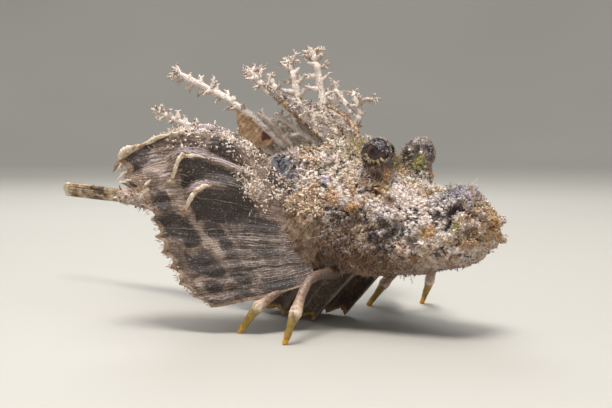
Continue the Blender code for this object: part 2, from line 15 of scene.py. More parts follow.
import bpy
import numpy as np
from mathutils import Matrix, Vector


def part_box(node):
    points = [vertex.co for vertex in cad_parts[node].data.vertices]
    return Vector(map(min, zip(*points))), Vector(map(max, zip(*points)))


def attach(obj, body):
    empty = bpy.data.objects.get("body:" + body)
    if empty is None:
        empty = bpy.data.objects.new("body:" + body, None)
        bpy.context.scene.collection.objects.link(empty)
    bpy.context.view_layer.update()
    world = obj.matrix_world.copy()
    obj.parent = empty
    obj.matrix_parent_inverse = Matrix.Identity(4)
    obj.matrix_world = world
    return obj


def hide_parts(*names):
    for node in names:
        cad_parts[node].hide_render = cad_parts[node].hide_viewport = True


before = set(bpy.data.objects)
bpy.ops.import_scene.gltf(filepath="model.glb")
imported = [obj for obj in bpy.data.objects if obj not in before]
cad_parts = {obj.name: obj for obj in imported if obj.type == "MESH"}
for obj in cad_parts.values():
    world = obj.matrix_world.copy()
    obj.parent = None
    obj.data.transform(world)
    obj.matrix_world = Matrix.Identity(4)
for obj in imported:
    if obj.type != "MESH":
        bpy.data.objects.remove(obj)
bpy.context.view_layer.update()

LOG = logging.getLogger("devilfish")
MM = 0.001
TURN = 2.0 * math.pi
EYE_X = 0.4
BODY = "root"

Array = np.ndarray
Faces = Sequence[Array]
Draw = np.random.Generator
Socket = bpy.types.NodeSocket
Material = bpy.types.Material
Point = tuple[float, float, float]
Colour = tuple[float, float, float, float]


class Slot(Enum):
    """The record's finishes that a piece can take."""

    SKIN = "skin"
    FIN = "fin"
    TASSEL = "tassel"
    RAY = "ray"
    EYE = "eye"


class Side(Enum):
    """The two sides of the fish, as the sign of y."""

    RIGHT = -1
    LEFT = 1

    @property
    def word(self) -> str:
        """The side's name as the nodes spell it."""
        return self.name.lower()


class Lie(Enum):
    """How the small growths stand on the skin."""

    GRAIN = "grain"
    SPECK = "speck"
    FLAP = "flap"
    THREAD = "thread"
    TWIG = "twig"


def paint(red: int, green: int, blue: int) -> Colour:
    """Turns a colour as a display shows it, from 0 to 255, into the light values that a shader takes.

    Args:
        red: How red it is.
        green: How green.
        blue: How blue.

    Returns:
        The linear colour with full opacity.
    """
    parts = [value / 255.0 for value in (red, green, blue)]
    return (*(part / 12.92 if part <= 0.04045 else ((part + 0.055) / 1.055) ** 2.4 for part in parts), 1.0)


CREAM = paint(226, 208, 184)
CHALK = paint(236, 222, 214)
SAND = paint(196, 166, 126)
OCHRE = paint(196, 142, 62)
BROWN = paint(112, 78, 52)
UMBER = paint(62, 44, 34)
CHARCOAL = paint(40, 37, 40)
ALGAE = paint(138, 136, 56)
LAVENDER = paint(150, 142, 156)
SLATE = paint(64, 71, 84)
ROSE = paint(206, 168, 152)
TAN = paint(172, 134, 104)
WINE = paint(98, 40, 42)


@dataclass(frozen=True)
class FishFrame:
    """Carries millimetres in the fish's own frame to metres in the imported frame, and back."""

    shift: Point

    @classmethod
    def from_eyes(cls) -> "FishFrame":
        """Finds the frame whose origin lies under the point between the two packed eyes.

        Returns:
            The frame.
        """
        corners = [Vector(corner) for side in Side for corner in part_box(f"eye_{side.word}")]
        middle = sum(corners, Vector()) / 4 / MM
        return cls((middle.x - EYE_X, middle.y, 0.0))

    def metres(self, points: Array) -> Array:
        """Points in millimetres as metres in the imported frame."""
        return (np.asarray(points, float) + self.shift) * MM

    def millimetres(self, points: Array) -> Array:
        """Points in metres as millimetres in the fish's own frame."""
        return np.asarray(points, float) / MM - self.shift


FISH = FishFrame.from_eyes()


def unit(vectors: Array) -> Array:
    """Vectors of length one along the last axis."""
    return vectors / np.maximum(np.linalg.norm(vectors, axis=-1, keepdims=True), 1e-9)


def joined(*parts: Array | float) -> Array:
    """Points, or rows of numbers, from their separate coordinates."""
    return np.stack(np.broadcast_arrays(*parts), axis=-1)


def folded(points: Array) -> Array:
    """Points of both sides of the fish laid on its left side."""
    return joined(points[..., 0], np.abs(points[..., 1]), points[..., 2])


def bump(value: Array, centre: float, width: float) -> Array:
    """A smooth hill of height one round the centre."""
    return np.exp(-(((value - centre) / width) ** 2))


def rise(value: Array, low: float, high: float) -> Array:
    """A smooth step from zero at low to one at high."""
    share = np.clip((np.asarray(value, float) - low) / (high - low), 0.0, 1.0)
    return share * share * (3.0 - 2.0 * share)


def net(columns: int, steps: int) -> list[Array]:
    """Places on a sheet, from zero to one across it and along it."""
    return np.meshgrid(np.linspace(0.0, 1.0, columns), np.linspace(0.0, 1.0, steps), indexing="ij")


def shares(steps: int) -> Array:
    """Even steps from zero to one, shaped to run along many rods at once."""
    return np.linspace(0.0, 1.0, steps)[None, :, None]


def curve_through(places: Sequence[float], values: Sequence, at: Array) -> Array:
    """A smooth curve through named places.

    Args:
        places: Where the values hold, running upward.
        values: One number or point for each place.
        at: Where the curve is read.

    Returns:
        The curve's values, one for each place read.
    """
    places, values = np.asarray(places, float), np.asarray(values, float)
    slopes = np.gradient(values, places, axis=0)
    at = np.clip(np.asarray(at, float), places[0], places[-1])
    i = np.clip(np.searchsorted(places, at) - 1, 0, len(places) - 2)
    span = places[i + 1] - places[i]
    t = (at - places[i]) / span
    if values.ndim > 1:
        t, span = t[..., None], span[..., None]
    ends = values[i] * (2 * t**3 - 3 * t**2 + 1) + values[i + 1] * (3 * t**2 - 2 * t**3)
    return ends + slopes[i] * span * (t**3 - 2 * t**2 + t) + slopes[i + 1] * span * (t**3 - t**2)


def rounded_line(points: Sequence[Point], steps: int) -> Array:
    """Draws a smooth line through a few points.

    Args:
        points: The points.
        steps: How many even steps lie between each two of them.

    Returns:
        The line's points.
    """
    knots = np.asarray(points, float)
    last = len(knots) - 1
    return curve_through(range(last + 1), knots, np.linspace(0, last, steps * last + 1))


HASH_STEPS = np.array((73856093, 19349663, 83492791))
HASH_TWIST, HASH_SEED = 668265263, 977


def scattered(cells: Array, seed: int) -> Array:
    """Gives each cell of a grid a number, the same whenever it is asked for.

    Args:
        cells: The cells, as whole numbers in threes.
        seed: Which of many patterns.

    Returns:
        Numbers from zero to one.
    """
    mixed = cells @ HASH_STEPS + seed * HASH_SEED
    mixed = (mixed ^ (mixed >> 13)) * HASH_TWIST
    return ((mixed ^ (mixed >> 15)) & 0xFFFF) / 65535.0


def grain_noise(points: Array, size: float, seed: int = 0) -> Array:
    """Smooth noise in space.

    Args:
        points: Where it is read, in millimetres.
        size: How far apart its hills are, in millimetres.
        seed: Which of many patterns.

    Returns:
        Values between minus one and one.
    """
    place = np.asarray(points, float) / size
    cell = np.floor(place).astype(np.int64)
    blend = rise(place - cell, 0.0, 1.0)
    total = np.zeros(place.shape[:-1])
    for corner in np.ndindex(2, 2, 2):
        value = 2.0 * scattered(cell + np.array(corner), seed) - 1.0
        total += value * np.prod(np.where(corner, blend, 1.0 - blend), axis=-1)
    return total


def rough_noise(points: Array, size: float, octaves: int = 3, seed: int = 0) -> Array:
    """Several sizes of noise laid over one another, each half as large and half as strong."""
    layers = [grain_noise(points, size / 2**k, seed + k) / 2**k for k in range(octaves)]
    return sum(layers) / sum(1 / 2**k for k in range(octaves))


def jostle(points: Array, size: float, octaves: int, seed: int) -> Array:
    """Rough noise in each of the three directions, as steps that move points about."""
    return joined(*(rough_noise(points, size, octaves, seed + k) for k in range(3)))


def knobs(points: Array, size: float, seed: int) -> tuple[Array, Array]:
    """Rounded knobs packed side by side, with narrow gaps between them.

    Args:
        points: Where the pattern is read, in millimetres.
        size: How far apart the knobs are.
        seed: Which of many patterns.

    Returns:
        The height, zero in the gaps and one on the tops, and a number of each knob's own.
    """
    place = np.asarray(points, float) / size
    cell = np.floor(place).astype(np.int64)
    first, second, own = np.full(len(place), 9.0), np.full(len(place), 9.0), np.zeros(len(place))
    for step in np.ndindex(3, 3, 3):
        near = cell + np.array(step) - 1
        gap = np.linalg.norm(near + joined(*(scattered(near, seed + k) for k in range(3))) - place, axis=-1)
        closer = gap < first
        second = np.where(closer, first, np.minimum(second, gap))
        own = np.where(closer, scattered(near, seed + 9), own)
        first = np.where(closer, gap, first)
    return np.clip((second - first) * 1.7, 0.0, 1.0), own


def outward(points: Array, triangles: Array) -> Array:
    """Finds which way is out at each point of a mesh.

    Args:
        points: The points.
        triangles: The triangles between them.

    Returns:
        Directions of length one.
    """
    first, second, third = (points[triangles[:, k]] for k in range(3))
    across = np.cross(second - first, third - first)
    return unit(joined(*(sum(np.bincount(triangles[:, corner], across[:, k], len(points))
                             for corner in range(3)) for k in range(3))))


def cut_in_triangles(faces: Faces) -> Array:
    """Quads and triangles as triangles alone."""
    return np.concatenate([group[:, (0, k, k + 1)] for group in faces for k in range(1, group.shape[1] - 1)])


@dataclass
class Form:
    """Points, faces and named values gathered for one mesh, in millimetres."""

    points: list[Array] = field(default_factory=list)
    faces: list[Array] = field(default_factory=list)
    values: dict[str, list[Array]] = field(default_factory=dict)
    patches: list[Array] = field(default_factory=list)
    count: int = 0

    def add(self, points: Array, faces: Faces, patch: Array | None = None, **values: Array | float) -> None:
        """Adds one more body to the form.

        Args:
            points: Its points.
            faces: Arrays of corner numbers, one row a face, each array with its own number of corners.
            patch: Where each point lies on the unwrap, if the form keeps one.
            values: Named numbers: one for all points, one for each, or one for each like group of them.
        """
        points = points.reshape(-1, 3)
        self.points.append(points)
        self.faces += [np.asarray(group) + self.count for group in faces]
        for name, value in values.items():
            flat = np.asarray(value, float).reshape(-1)
            self.values.setdefault(name, []).append(np.repeat(flat, len(points) // len(flat)))
        if patch is not None:
            self.patches.append(patch.reshape(-1, 2))
        self.count += len(points)

    def triangles(self) -> int:
        """How many triangles the form's faces make."""
        return sum(len(group) * (group.shape[1] - 2) for group in self.faces)

    def make(self, name: str, finish: Material) -> bpy.types.Object:
        """Turns the form into a smooth-shaded mesh object.

        Args:
            name: The object's name.
            finish: Its material.

        Returns:
            The new object, linked to the scene.
        """
        points = FISH.metres(np.concatenate(self.points))
        corners = np.concatenate([group.ravel() for group in self.faces])
        sizes = np.concatenate([np.full(len(group), group.shape[1]) for group in self.faces])
        mesh = bpy.data.meshes.new(name)
        mesh.vertices.add(len(points))
        mesh.vertices.foreach_set("co", points.astype(np.float32).ravel())
        mesh.loops.add(len(corners))
        mesh.loops.foreach_set("vertex_index", corners.astype(np.int32))
        mesh.polygons.add(len(sizes))
        mesh.polygons.foreach_set("loop_start", (np.cumsum(sizes) - sizes).astype(np.int32))
        mesh.polygons.foreach_set("loop_total", sizes.astype(np.int32))
        mesh.update(calc_edges=True)
        for key, parts in self.values.items():
            layer = mesh.attributes.new(key, "FLOAT", "POINT")
            layer.data.foreach_set("value", np.concatenate(parts).astype(np.float32))
        if self.patches:
            layer = mesh.uv_layers.new(name="OFBake")
            layer.data.foreach_set("uv", np.concatenate(self.patches)[corners].astype(np.float32).ravel())
        mesh.shade_smooth()
        mesh.materials.append(finish)
        made = bpy.data.objects.new(name, mesh)
        bpy.context.scene.collection.objects.link(made)
        return made


def strips(rows: int, sides: int) -> Array:
    """Joins neighbouring rings of points with quads.

    Args:
        rows: How many rings there are.
        sides: How many points each has.

    Returns:
        The quads as rows of point numbers.
    """
    here, starts = np.arange(sides), np.arange(rows - 1)[:, None] * sides
    there = (here + 1) % sides
    return joined(starts + here, starts + there, starts + sides + there, starts + sides + here).reshape(-1, 4)


def rods(lines: Array, radii: Array, sides: int, flat: float = 1.0, facing: Array | None = None) -> tuple:
    """Closed tapered rods along many lines at once.

    Args:
        lines: The rods' centre lines, shaped (rods, steps, 3).
        radii: The radius at each step, shaped (rods, steps).
        sides: How many sides each rod has.
        flat: Thickness as a share of width.
        facing: The way each rod's flat face looks, one direction a rod.

    Returns:
        The points, shaped (rods, points a rod, 3), and the faces as quads and triangles.
    """
    count, steps, _ = lines.shape
    tangent = unit(np.gradient(lines, axis=1))
    if facing is None:
        mean = unit(lines[:, -1] - lines[:, 0])
        facing = unit(np.cross(mean, np.roll(mean, 1, axis=1) + (0.31, 0.17, 0.53)))
    wide = unit(np.cross(tangent, facing[:, None, :]))
    deep = np.cross(wide, tangent) * flat
    turn = TURN * np.arange(sides) / sides
    spokes = np.cos(turn)[:, None] * wide[:, :, None, :] + np.sin(turn)[:, None] * deep[:, :, None, :]
    rings = lines[:, :, None, :] + spokes * radii[:, :, None, None]
    heel = lines[:, :1] - tangent[:, :1] * radii[:, :1, None] * 0.3
    tip = lines[:, -1:] + tangent[:, -1:] * radii[:, -1:, None]
    points = np.concatenate([rings.reshape(count, steps * sides, 3), heel, tip], axis=1)
    here, last, size = np.arange(sides), (steps - 1) * sides, steps * sides + 2
    there = (here + 1) % sides
    caps = np.concatenate([joined(there, here, size - 2), joined(last + here, last + there, size - 1)])
    offsets = (np.arange(count) * size)[:, None, None]
    return points, [(strips(steps, sides) + offsets).reshape(-1, 4), (caps + offsets).reshape(-1, 3)]


def rod_shares(count: int, steps: int, sides: int) -> Array:
    """How far along its rod each point lies, for the points that rods() makes."""
    along = np.repeat(np.linspace(0.0, 1.0, steps), sides)
    return np.broadcast_to(np.concatenate([along, (0.0, 1.0)]), (count, steps * sides + 2))


def grid_facing(grid: Array) -> Array:
    """The direction that each point of a grid faces."""
    return unit(np.cross(np.gradient(grid, axis=0), np.gradient(grid, axis=1)))


def sheet(grid: Array, thickness: Array) -> tuple[Array, list[Array]]:
    """A closed thin body round a grid of points.

    Args:
        grid: The middle surface, shaped (columns, steps, 3).
        thickness: How thick it is at each point.

    Returns:
        The points and the faces.
    """
    columns, steps, _ = grid.shape
    half = grid_facing(grid) * thickness[..., None] / 2
    points = np.concatenate([(grid + half).reshape(-1, 3), (grid - half).reshape(-1, 3)])
    numbers = np.arange(columns * steps).reshape(columns, steps)
    face = joined(numbers[:-1, :-1], numbers[1:, :-1], numbers[1:, 1:], numbers[:-1, 1:]).reshape(-1, 4)
    rim = np.concatenate([numbers[:-1, 0], numbers[-1, :-1], numbers[:0:-1, -1], numbers[0, :0:-1]])
    after, under = np.roll(rim, -1), columns * steps
    return points, [face, face[:, ::-1] + under, joined(after, rim, rim + under, after + under)]


def mottled(points: Array, middle: float, spread: float, size: float, seed: int) -> Array:
    """Shades between zero and one that wander about a middle one."""
    return np.clip(middle + spread * rough_noise(points, size, 3, seed), 0.0, 1.0)


ICO_GOLD = (1.0 + math.sqrt(5.0)) / 2.0
SIGNS = list(itertools.product((-1, 1), repeat=2))
ICO_POINTS = unit(np.array([(a, b * ICO_GOLD, 0.0) for a, b in SIGNS]
                           + [(0.0, a, b * ICO_GOLD) for a, b in SIGNS]
                           + [(b * ICO_GOLD, 0.0, a) for a, b in SIGNS]))
EIGHT_POINTS = np.concatenate([np.eye(3), -np.eye(3)])


def hull_faces(points: Array) -> Array:
    """Finds the triangles between neighbouring corners of a regular solid, with their outer side out.

    Args:
        points: The solid's corners, all at a distance of one.

    Returns:
        The triangles as rows of corner numbers.
    """
    gaps = np.linalg.norm(points[:, None] - points[None], axis=-1)
    near = (gaps > 0.1) & (gaps < 1.5)
    faces = []
    for a, b, c in itertools.combinations(range(len(points)), 3):
        if near[a, b] and near[b, c] and near[a, c]:
            out = np.cross(points[b] - points[a], points[c] - points[a])
            faces.append((a, b, c) if out @ points[a] > 0 else (a, c, b))
    return np.array(faces)


PEBBLE_SHAPES = {lie: (corners, hull_faces(corners))
                 for lie, corners in ((Lie.GRAIN, ICO_POINTS), (Lie.SPECK, EIGHT_POINTS))}


def pebbles(lie: Lie, roots: Array, normals: Array, sizes: Array, draw: Draw) -> tuple[Array, list[Array]]:
    """Uneven little grains half sunk in a surface.

    Args:
        lie: Whether they are full grains or mere specks.
        roots: Where each stands.
        normals: The outward direction there.
        sizes: Each grain's radius.
        draw: The seeded source of chance.

    Returns:
        The points, shaped (grains, corners, 3), and the faces.
    """
    corners, triangles = PEBBLE_SHAPES[lie]
    count, each = len(roots), len(corners)
    side = unit(np.cross(normals, draw.normal(size=(count, 3))))
    third = np.cross(normals, side)
    sizes = sizes[:, None, None]
    shape = corners[None] * draw.uniform(0.65, 1.25, (count, each, 1)) * sizes
    stretch = draw.uniform(0.7, 1.3, (count, 1, 1))
    flat = shape[..., :1] * side[:, None] * stretch + shape[..., 1:2] * third[:, None]
    points = roots[:, None] + flat + (shape[..., 2:] * 0.75 + sizes * 0.25) * normals[:, None]
    return points, [(triangles + (np.arange(count) * each)[:, None, None]).reshape(-1, 3)]


class Graph:
    """Short calls that lay out a shader's nodes, with the colour so far kept in hand."""

    def __init__(self, name: str) -> None:
        """Starts a material of that name with a Principled shader.

        Args:
            name: The material's name.
        """
        self.material = bpy.data.materials.new(name)
        self.material.use_nodes = True
        self.nodes = self.material.node_tree.nodes
        self.shader = self.nodes["Principled BSDF"]
        self.place = self.make("TexCoord").outputs["Object"]
        self.colour: Socket | None = None

    def make(self, kind: str, *inputs: object, **named: object) -> bpy.types.Node:
        """Adds a node.

        Args:
            kind: The end of Blender's name for it.
            inputs: What its first inputs take.
            named: Its properties and, where the name starts with a capital, its other inputs.

        Returns:
            The node.
        """
        node = self.nodes.new(f"ShaderNode{kind}")
        for key, value in named.items():
            if key[0].islower():
                setattr(node, key, value)
            else:
                self.feed(node.inputs[key], value)
        for socket, value in zip(node.inputs, inputs):
            self.feed(socket, value)
        return node

    def feed(self, socket: Socket, value: object) -> None:
        """Links a socket to the input, or sets the input's own value.

        Args:
            socket: The input.
            value: Another node's output, or a plain value.
        """
        if isinstance(value, bpy.types.NodeSocket):
            self.material.node_tree.links.new(value, socket)
        else:
            socket.default_value = value

    def value(self, name: str) -> Socket:
        """A named number that the mesh keeps at its points."""
        return self.make("Attribute", attribute_name=name).outputs["Fac"]

    def math(self, operation: str, first: object, second: object = 0.0) -> Socket:
        """One sum, by Blender's name for it."""
        return self.make("Math", first, second, operation=operation).outputs[0]

    def plus(self, first: object, second: object) -> Socket:
        """Two numbers added."""
        return self.math("ADD", first, second)

    def times(self, first: object, second: object) -> Socket:
        """Two numbers multiplied."""
        return self.math("MULTIPLY", first, second)

    def noise(self, size: float, detail: float = 4.0, roughness: float = 0.6) -> Socket:
        """Cloudy noise whose features are `size` millimetres across."""
        node = self.make("TexNoise", self.place, Scale=1.0 / (size * MM), Detail=detail, Roughness=roughness)
        return node.outputs["Fac"]

    def ragged(self, size: float, detail: float, roughness: float, reach: float) -> Socket:
        """Noise that swings about zero, by half of the reach each way at the most."""
        return self.times(self.math("SUBTRACT", self.noise(size, detail, roughness), 0.5), reach)

    def cells(self, size: float) -> Socket:
        """The distance to the nearest of many points spread `size` millimetres apart."""
        return self.make("TexVoronoi", self.place, Scale=1.0 / (size * MM)).outputs["Distance"]

    def ramp(self, factor: Socket, *stops: tuple[float, Colour]) -> Socket:
        """Makes a run of colours along a number.

        Args:
            factor: The number.
            stops: Places from zero to one with the colour at each.

        Returns:
            The colour.
        """
        node = self.make("ValToRGB", factor)
        elements = node.color_ramp.elements
        while len(elements) < len(stops):
            elements.new(0.5)
        for element, (position, colour) in zip(elements, stops):
            element.position = position
            element.color = colour
        return node.outputs["Color"]

    def step(self, factor: Socket, low: float, high: float) -> Socket:
        """A smooth step of a number from zero at low to one at high."""
        return self.make("MapRange", factor, low, high, interpolation_type="SMOOTHSTEP").outputs["Result"]

    def mix(self, factor: object, first: object, second: object) -> Socket:
        """Mixes two colours.

        Args:
            factor: How much of the second one there is.
            first: The first colour.
            second: The second.

        Returns:
            The mixture.
        """
        node = self.make("Mix", factor, data_type="RGBA")
        self.feed(node.inputs[6], first)
        self.feed(node.inputs[7], second)
        return node.outputs[2]

    def lay(self, tint: object, factor: Socket, low: float, high: float, strength: object) -> None:
        """Lays a tint over the colour so far where a number passes from low to high."""
        self.colour = self.mix(self.times(self.step(factor, low, high), strength), self.colour, tint)

    def bumps(self, height: Socket, strength: float, depth: float) -> None:
        """Gives the shader a bump of that depth in millimetres."""
        node = self.make("Bump", Strength=strength, Distance=depth * MM, Height=height)
        self.feed(self.shader.inputs["Normal"], node.outputs["Normal"])

    def finish(self, least: float, spread: float = 0.0, size: float = 1.0, **plain: float) -> Material:
        """Joins the colour so far and a roughness to the shader and sets its plain values.

        Args:
            least: The least roughness.
            spread: How much rougher it gets in places.
            size: How far apart those places are.
            plain: Other shader inputs, with underscores for spaces.

        Returns:
            The finished material.
        """
        self.feed(self.shader.inputs["Base Color"], self.colour)
        rough = self.plus(least, self.times(self.noise(size), spread)) if spread else least
        self.feed(self.shader.inputs["Roughness"], rough)
        for key, value in plain.items():
            self.shader.inputs[key.replace("_", " ")].default_value = value
        return self.material


@dataclass(frozen=True)
class Mark:
    """A patch of colour on the body, the same on both sides of the fish, and how deep it sinks; the dark ones
    that sink deepest are pits whose colour is painted shade.
    """

    place: Point
    reach: float
    colour: Colour
    strength: float = 0.85
    sink: float = 0.0

    def nearness(self, points: Array) -> Array:
        """How strongly the patch holds at each point, from zero to one."""
        return rise(np.linalg.norm(folded(points) - self.place, axis=1) / self.reach, 1.1, 0.5)


ARCH_LINE = ((23.0, 9.7, 33.6), (23.7, 9.0, 34.9), (24.8, 8.0, 35.7), (26.0, 7.2, 35.9), (27.1, 6.5, 35.3))
# Marks that sink 0.4 mm or more are pits: their dark colours are painted shade in the hollows that they sink.
BODY_MARKS = (
    Mark((-6.0, 14.0, 25.0), 11.0, paint(92, 66, 46), 0.8),
    Mark((2.0, 13.0, 20.0), 9.0, paint(84, 62, 46), 0.7),
    Mark((-9.4, 10.0, 45.5), 6.5, CREAM, 0.6),
    Mark((8.0, 9.5, 36.5), 7.0, CHALK, 0.65),
    Mark((16.0, 9.0, 35.0), 6.0, CHALK, 0.5),
    Mark((-41.5, 5.6, 46.0), 4.6, SLATE, 0.9, 0.3),
    Mark((-36.5, 7.8, 45.0), 5.0, SLATE, 0.92, 0.3),
    Mark((-31.2, 10.8, 42.6), 3.6, paint(58, 62, 72), 0.92, 0.3),
    Mark((-38.0, 10.6, 42.6), 4.4, SLATE, 0.9, 0.2),
    Mark((-29.0, 8.8, 45.4), 1.8, paint(72, 46, 52), 0.85, 0.3),
    Mark((-25.4, 9.8, 45.0), 1.5, paint(60, 40, 44), 0.85, 0.3),
    Mark((-22.0, 9.4, 45.8), 1.3, paint(60, 42, 38), 0.8, 0.3),
    Mark((1.8, 12.0, 39.6), 3.4, paint(204, 164, 104), 0.75),
    Mark((5.0, 11.5, 36.2), 2.2, BROWN, 0.8, 0.4),
    Mark((-5.0, 16.2, 35.0), 3.0, OCHRE, 0.65),
    Mark((-12.0, 15.0, 37.5), 2.6, paint(206, 160, 112), 0.6),
    Mark((-19.0, 14.5, 38.0), 2.6, OCHRE, 0.5),
    Mark((-3.0, 16.4, 31.5), 2.6, UMBER, 0.9, 0.9),
    Mark((-9.5, 16.6, 30.5), 2.2, CHARCOAL, 0.85, 0.9),
    Mark((1.5, 14.0, 26.0), 2.6, CHARCOAL, 0.8, 0.8),
    Mark((-2.0, 15.5, 28.0), 2.2, paint(214, 190, 166), 0.8),
    Mark((13.0, 12.0, 25.5), 2.6, UMBER, 0.8, 0.6),
    Mark((-16.2, 10.3, 45.6), 1.9, CHARCOAL, 0.8, 0.6),
    Mark((-10.5, 13.6, 41.5), 1.6, CHARCOAL, 0.75, 0.6),
    Mark((-4.5, 12.8, 42.6), 1.4, UMBER, 0.75, 0.5),
    Mark((-6.0, 2.0, 51.5), 8.5, ALGAE, 0.5),
    Mark((-4.4, 9.6, 50.0), 2.2, paint(96, 86, 30), 0.85, 0.3),
    Mark((4.5, 0.0, 45.0), 5.5, ALGAE, 0.4),
    Mark((12.0, 0.0, 43.0), 5.0, ALGAE, 0.4),
    Mark((-0.7, 2.5, 44.2), 2.8, paint(186, 132, 62), 0.7),
    Mark((21.0, 4.6, 39.8), 6.2, paint(138, 130, 144), 0.85),
    Mark((17.5, 4.0, 41.0), 3.4, paint(150, 148, 96), 0.5),
    Mark((31.0, 0.0, 31.0), 6.4, paint(186, 142, 82), 0.75),
    Mark((29.5, 0.0, 36.5), 3.6, paint(168, 142, 88), 0.7),
    Mark((26.5, 8.0, 27.5), 4.2, paint(158, 118, 72), 0.6),
    Mark((25.7, 8.6, 32.8), 1.6, CREAM, 0.85),
    *(Mark(place, 1.9, paint(84, 54, 58), 0.7) for place in ARCH_LINE),
    Mark((27.2, 6.2, 33.0), 2.0, paint(60, 34, 46), 0.92, 0.5),
    Mark((28.6, 4.4, 35.6), 1.5, paint(128, 100, 112), 0.6),
    Mark((24.4, 9.4, 30.4), 1.6, paint(150, 140, 48), 0.8),
    Mark((21.5, 10.4, 29.8), 1.8, CHALK, 0.9),
    Mark((23.0, 10.2, 31.4), 0.9, CHARCOAL, 0.85, 0.6),
    Mark((27.6, 7.6, 28.6), 2.0, UMBER, 0.8, 0.5),
    Mark((17.5, 11.2, 28.6), 2.5, OCHRE, 0.75),
    Mark((13.6, 11.2, 31.6), 2.6, CHALK, 0.8),
    Mark((8.5, 12.7, 28.6), 3.0, CHARCOAL, 0.92, 1.1),
    Mark((4.2, 13.4, 30.0), 2.2, CHARCOAL, 0.85, 0.8),
    Mark((0.2, 9.0, 49.0), 8.6, paint(74, 60, 52), 0.85),
    Mark((2.0, 5.6, 51.0), 2.1, CHARCOAL, 0.95, 0.3),
    Mark((-2.2, 6.0, 51.8), 1.9, paint(34, 32, 40), 0.95, 0.3),
    Mark((4.2, 7.6, 51.2), 1.7, paint(34, 32, 40), 0.95, 0.2),
    Mark((-1.4, 5.0, 48.6), 1.7, paint(48, 40, 34), 0.95, 0.3),
    Mark((0.2, 5.2, 50.2), 1.1, CHALK, 0.9),
    Mark((3.8, 6.2, 49.0), 1.5, CHALK, 0.9),
    Mark((0.6, 6.2, 53.2), 1.6, CHALK, 0.9),
    Mark((3.0, 7.2, 53.0), 1.2, LAVENDER, 0.9),
    Mark((3.6, 5.6, 46.4), 2.6, paint(150, 144, 60), 0.85),
    Mark((1.0, 11.0, 44.0), 4.2, paint(112, 84, 62), 0.8),
    Mark((2.0, 13.3, 42.6), 2.2, UMBER, 0.8, 0.4),
    Mark((-3.4, 12.2, 46.0), 1.8, CHARCOAL, 0.85),
    Mark((4.6, 11.0, 43.6), 2.0, paint(186, 132, 72), 0.7),
    Mark((-60.0, 8.0, 34.0), 14.0, BROWN, 0.6),
    Mark((-100.0, 3.0, 33.0), 16.0, BROWN, 0.6),
)


def lay_marks(graph: Graph) -> None:
    """Lays the body's markings over the colour so far, and makes it browner towards the bottom.

    Args:
        graph: The material that is being made.
    """
    x, y, z = graph.make("SeparateXYZ", graph.place).outputs
    place = graph.make("CombineXYZ", x, graph.math("ABSOLUTE", y), z).outputs[0]
    ragged = graph.ragged(2.2, 5.0, 0.7, 2.2)
    for mark in BODY_MARKS:
        heart = tuple(FISH.metres(np.array(mark.place)))
        gap = graph.make("VectorMath", place, heart, operation="DISTANCE").outputs["Value"]
        share = graph.plus(graph.math("DIVIDE", gap, mark.reach * MM), ragged)
        graph.lay(mark.colour, share, 1.2, 0.5, mark.strength)
    # Browner towards the bottom, below about 26 mm up.
    graph.lay(BROWN, graph.plus(z, graph.times(ragged, 0.003)), 0.026, 0.016, 0.7)


@dataclass(frozen=True)
class BodyFinish:
    """The encrusted skin, and the growths on it, which wear the same markings.

    Each clump of growth has a tint of its own, and the gaps between them are painted dark as shade.
    """

    name: str
    tints: tuple[tuple[float, Colour], ...] = (
        (0.0, paint(148, 108, 68)), (0.12, paint(222, 202, 180)), (0.26, paint(240, 229, 226)),
        (0.38, paint(190, 150, 104)), (0.48, paint(220, 198, 190)), (0.6, paint(238, 226, 212)),
        (0.72, paint(208, 194, 212)), (0.82, paint(154, 138, 92)), (0.91, CHALK), (1.0, paint(180, 138, 98)))
    # Painted shade for the gaps between the clumps, where the height is low.
    gap: Colour = paint(44, 34, 30)
    mouth: Colour = paint(62, 34, 44)
    bump_size: float = 0.55
    bump_depth: float = 0.3

    def material(self) -> Material:
        """Makes the material.

        Returns:
            Mottled cream, pink and tan with the body's markings.
        """
        graph = Graph(self.name)
        tint = graph.plus(graph.value("tint"), graph.ragged(1.3, 3.0, 0.6, 0.3))
        graph.colour = graph.ramp(tint, *self.tints)
        lay_marks(graph)
        speck, shade, height = graph.noise(0.55, 3.0, 0.8), graph.value("shade"), graph.value("height")
        graph.lay(UMBER, speck, 0.45, 0.37, 0.55)
        graph.lay(CHALK, speck, 0.55, 0.65, 0.3)
        graph.lay(UMBER, shade, 0.45, 0.0, 0.75)
        graph.lay(CHALK, shade, 0.6, 1.0, 0.5)
        # Painted shade in the gaps between clumps.
        graph.lay(self.gap, height, 0.5, 0.2, 0.92)
        graph.lay(self.mouth, height, 0.05, -0.3, 0.8)
        grain = graph.plus(graph.noise(self.bump_size, 4.0, 0.75), graph.cells(self.bump_size * 1.6))
        graph.bumps(grain, 0.8, self.bump_depth)
        return graph.finish(0.55, 0.4, 0.9)


@dataclass(frozen=True)
class CrustFinish:
    """Growths with a run of shades of their own and, where asked, another tint at the tips."""

    name: str
    dark: Colour = BROWN
    middle: Colour = SAND
    pale: Colour = CREAM
    bright: Colour = CHALK
    tip: Colour | None = None

    def material(self) -> Material:
        """Makes the material.

        Returns:
            A chalky finish whose shade runs from growth to growth.
        """
        graph = Graph(self.name)
        shade, speck = graph.value("shade"), graph.noise(0.6, 4.0, 0.8)
        graph.colour = graph.ramp(graph.plus(shade, graph.ragged(1.8, 4.0, 0.6, 1.2)), (0.05, self.dark),
                                  (0.35, self.middle), (0.6, self.pale), (0.9, self.bright))
        graph.lay(self.dark, speck, 0.46, 0.37, 0.6)
        graph.lay(UMBER, shade, 0.2, 0.0, 0.65)
        if self.tip:
            graph.lay(self.tip, graph.value("along"), 0.6, 1.0, 0.7)
        graph.bumps(graph.plus(graph.noise(0.4, 4.0, 0.75), graph.cells(0.7)), 0.7, 0.25)
        return graph.finish(0.55, 0.4, 1.0)


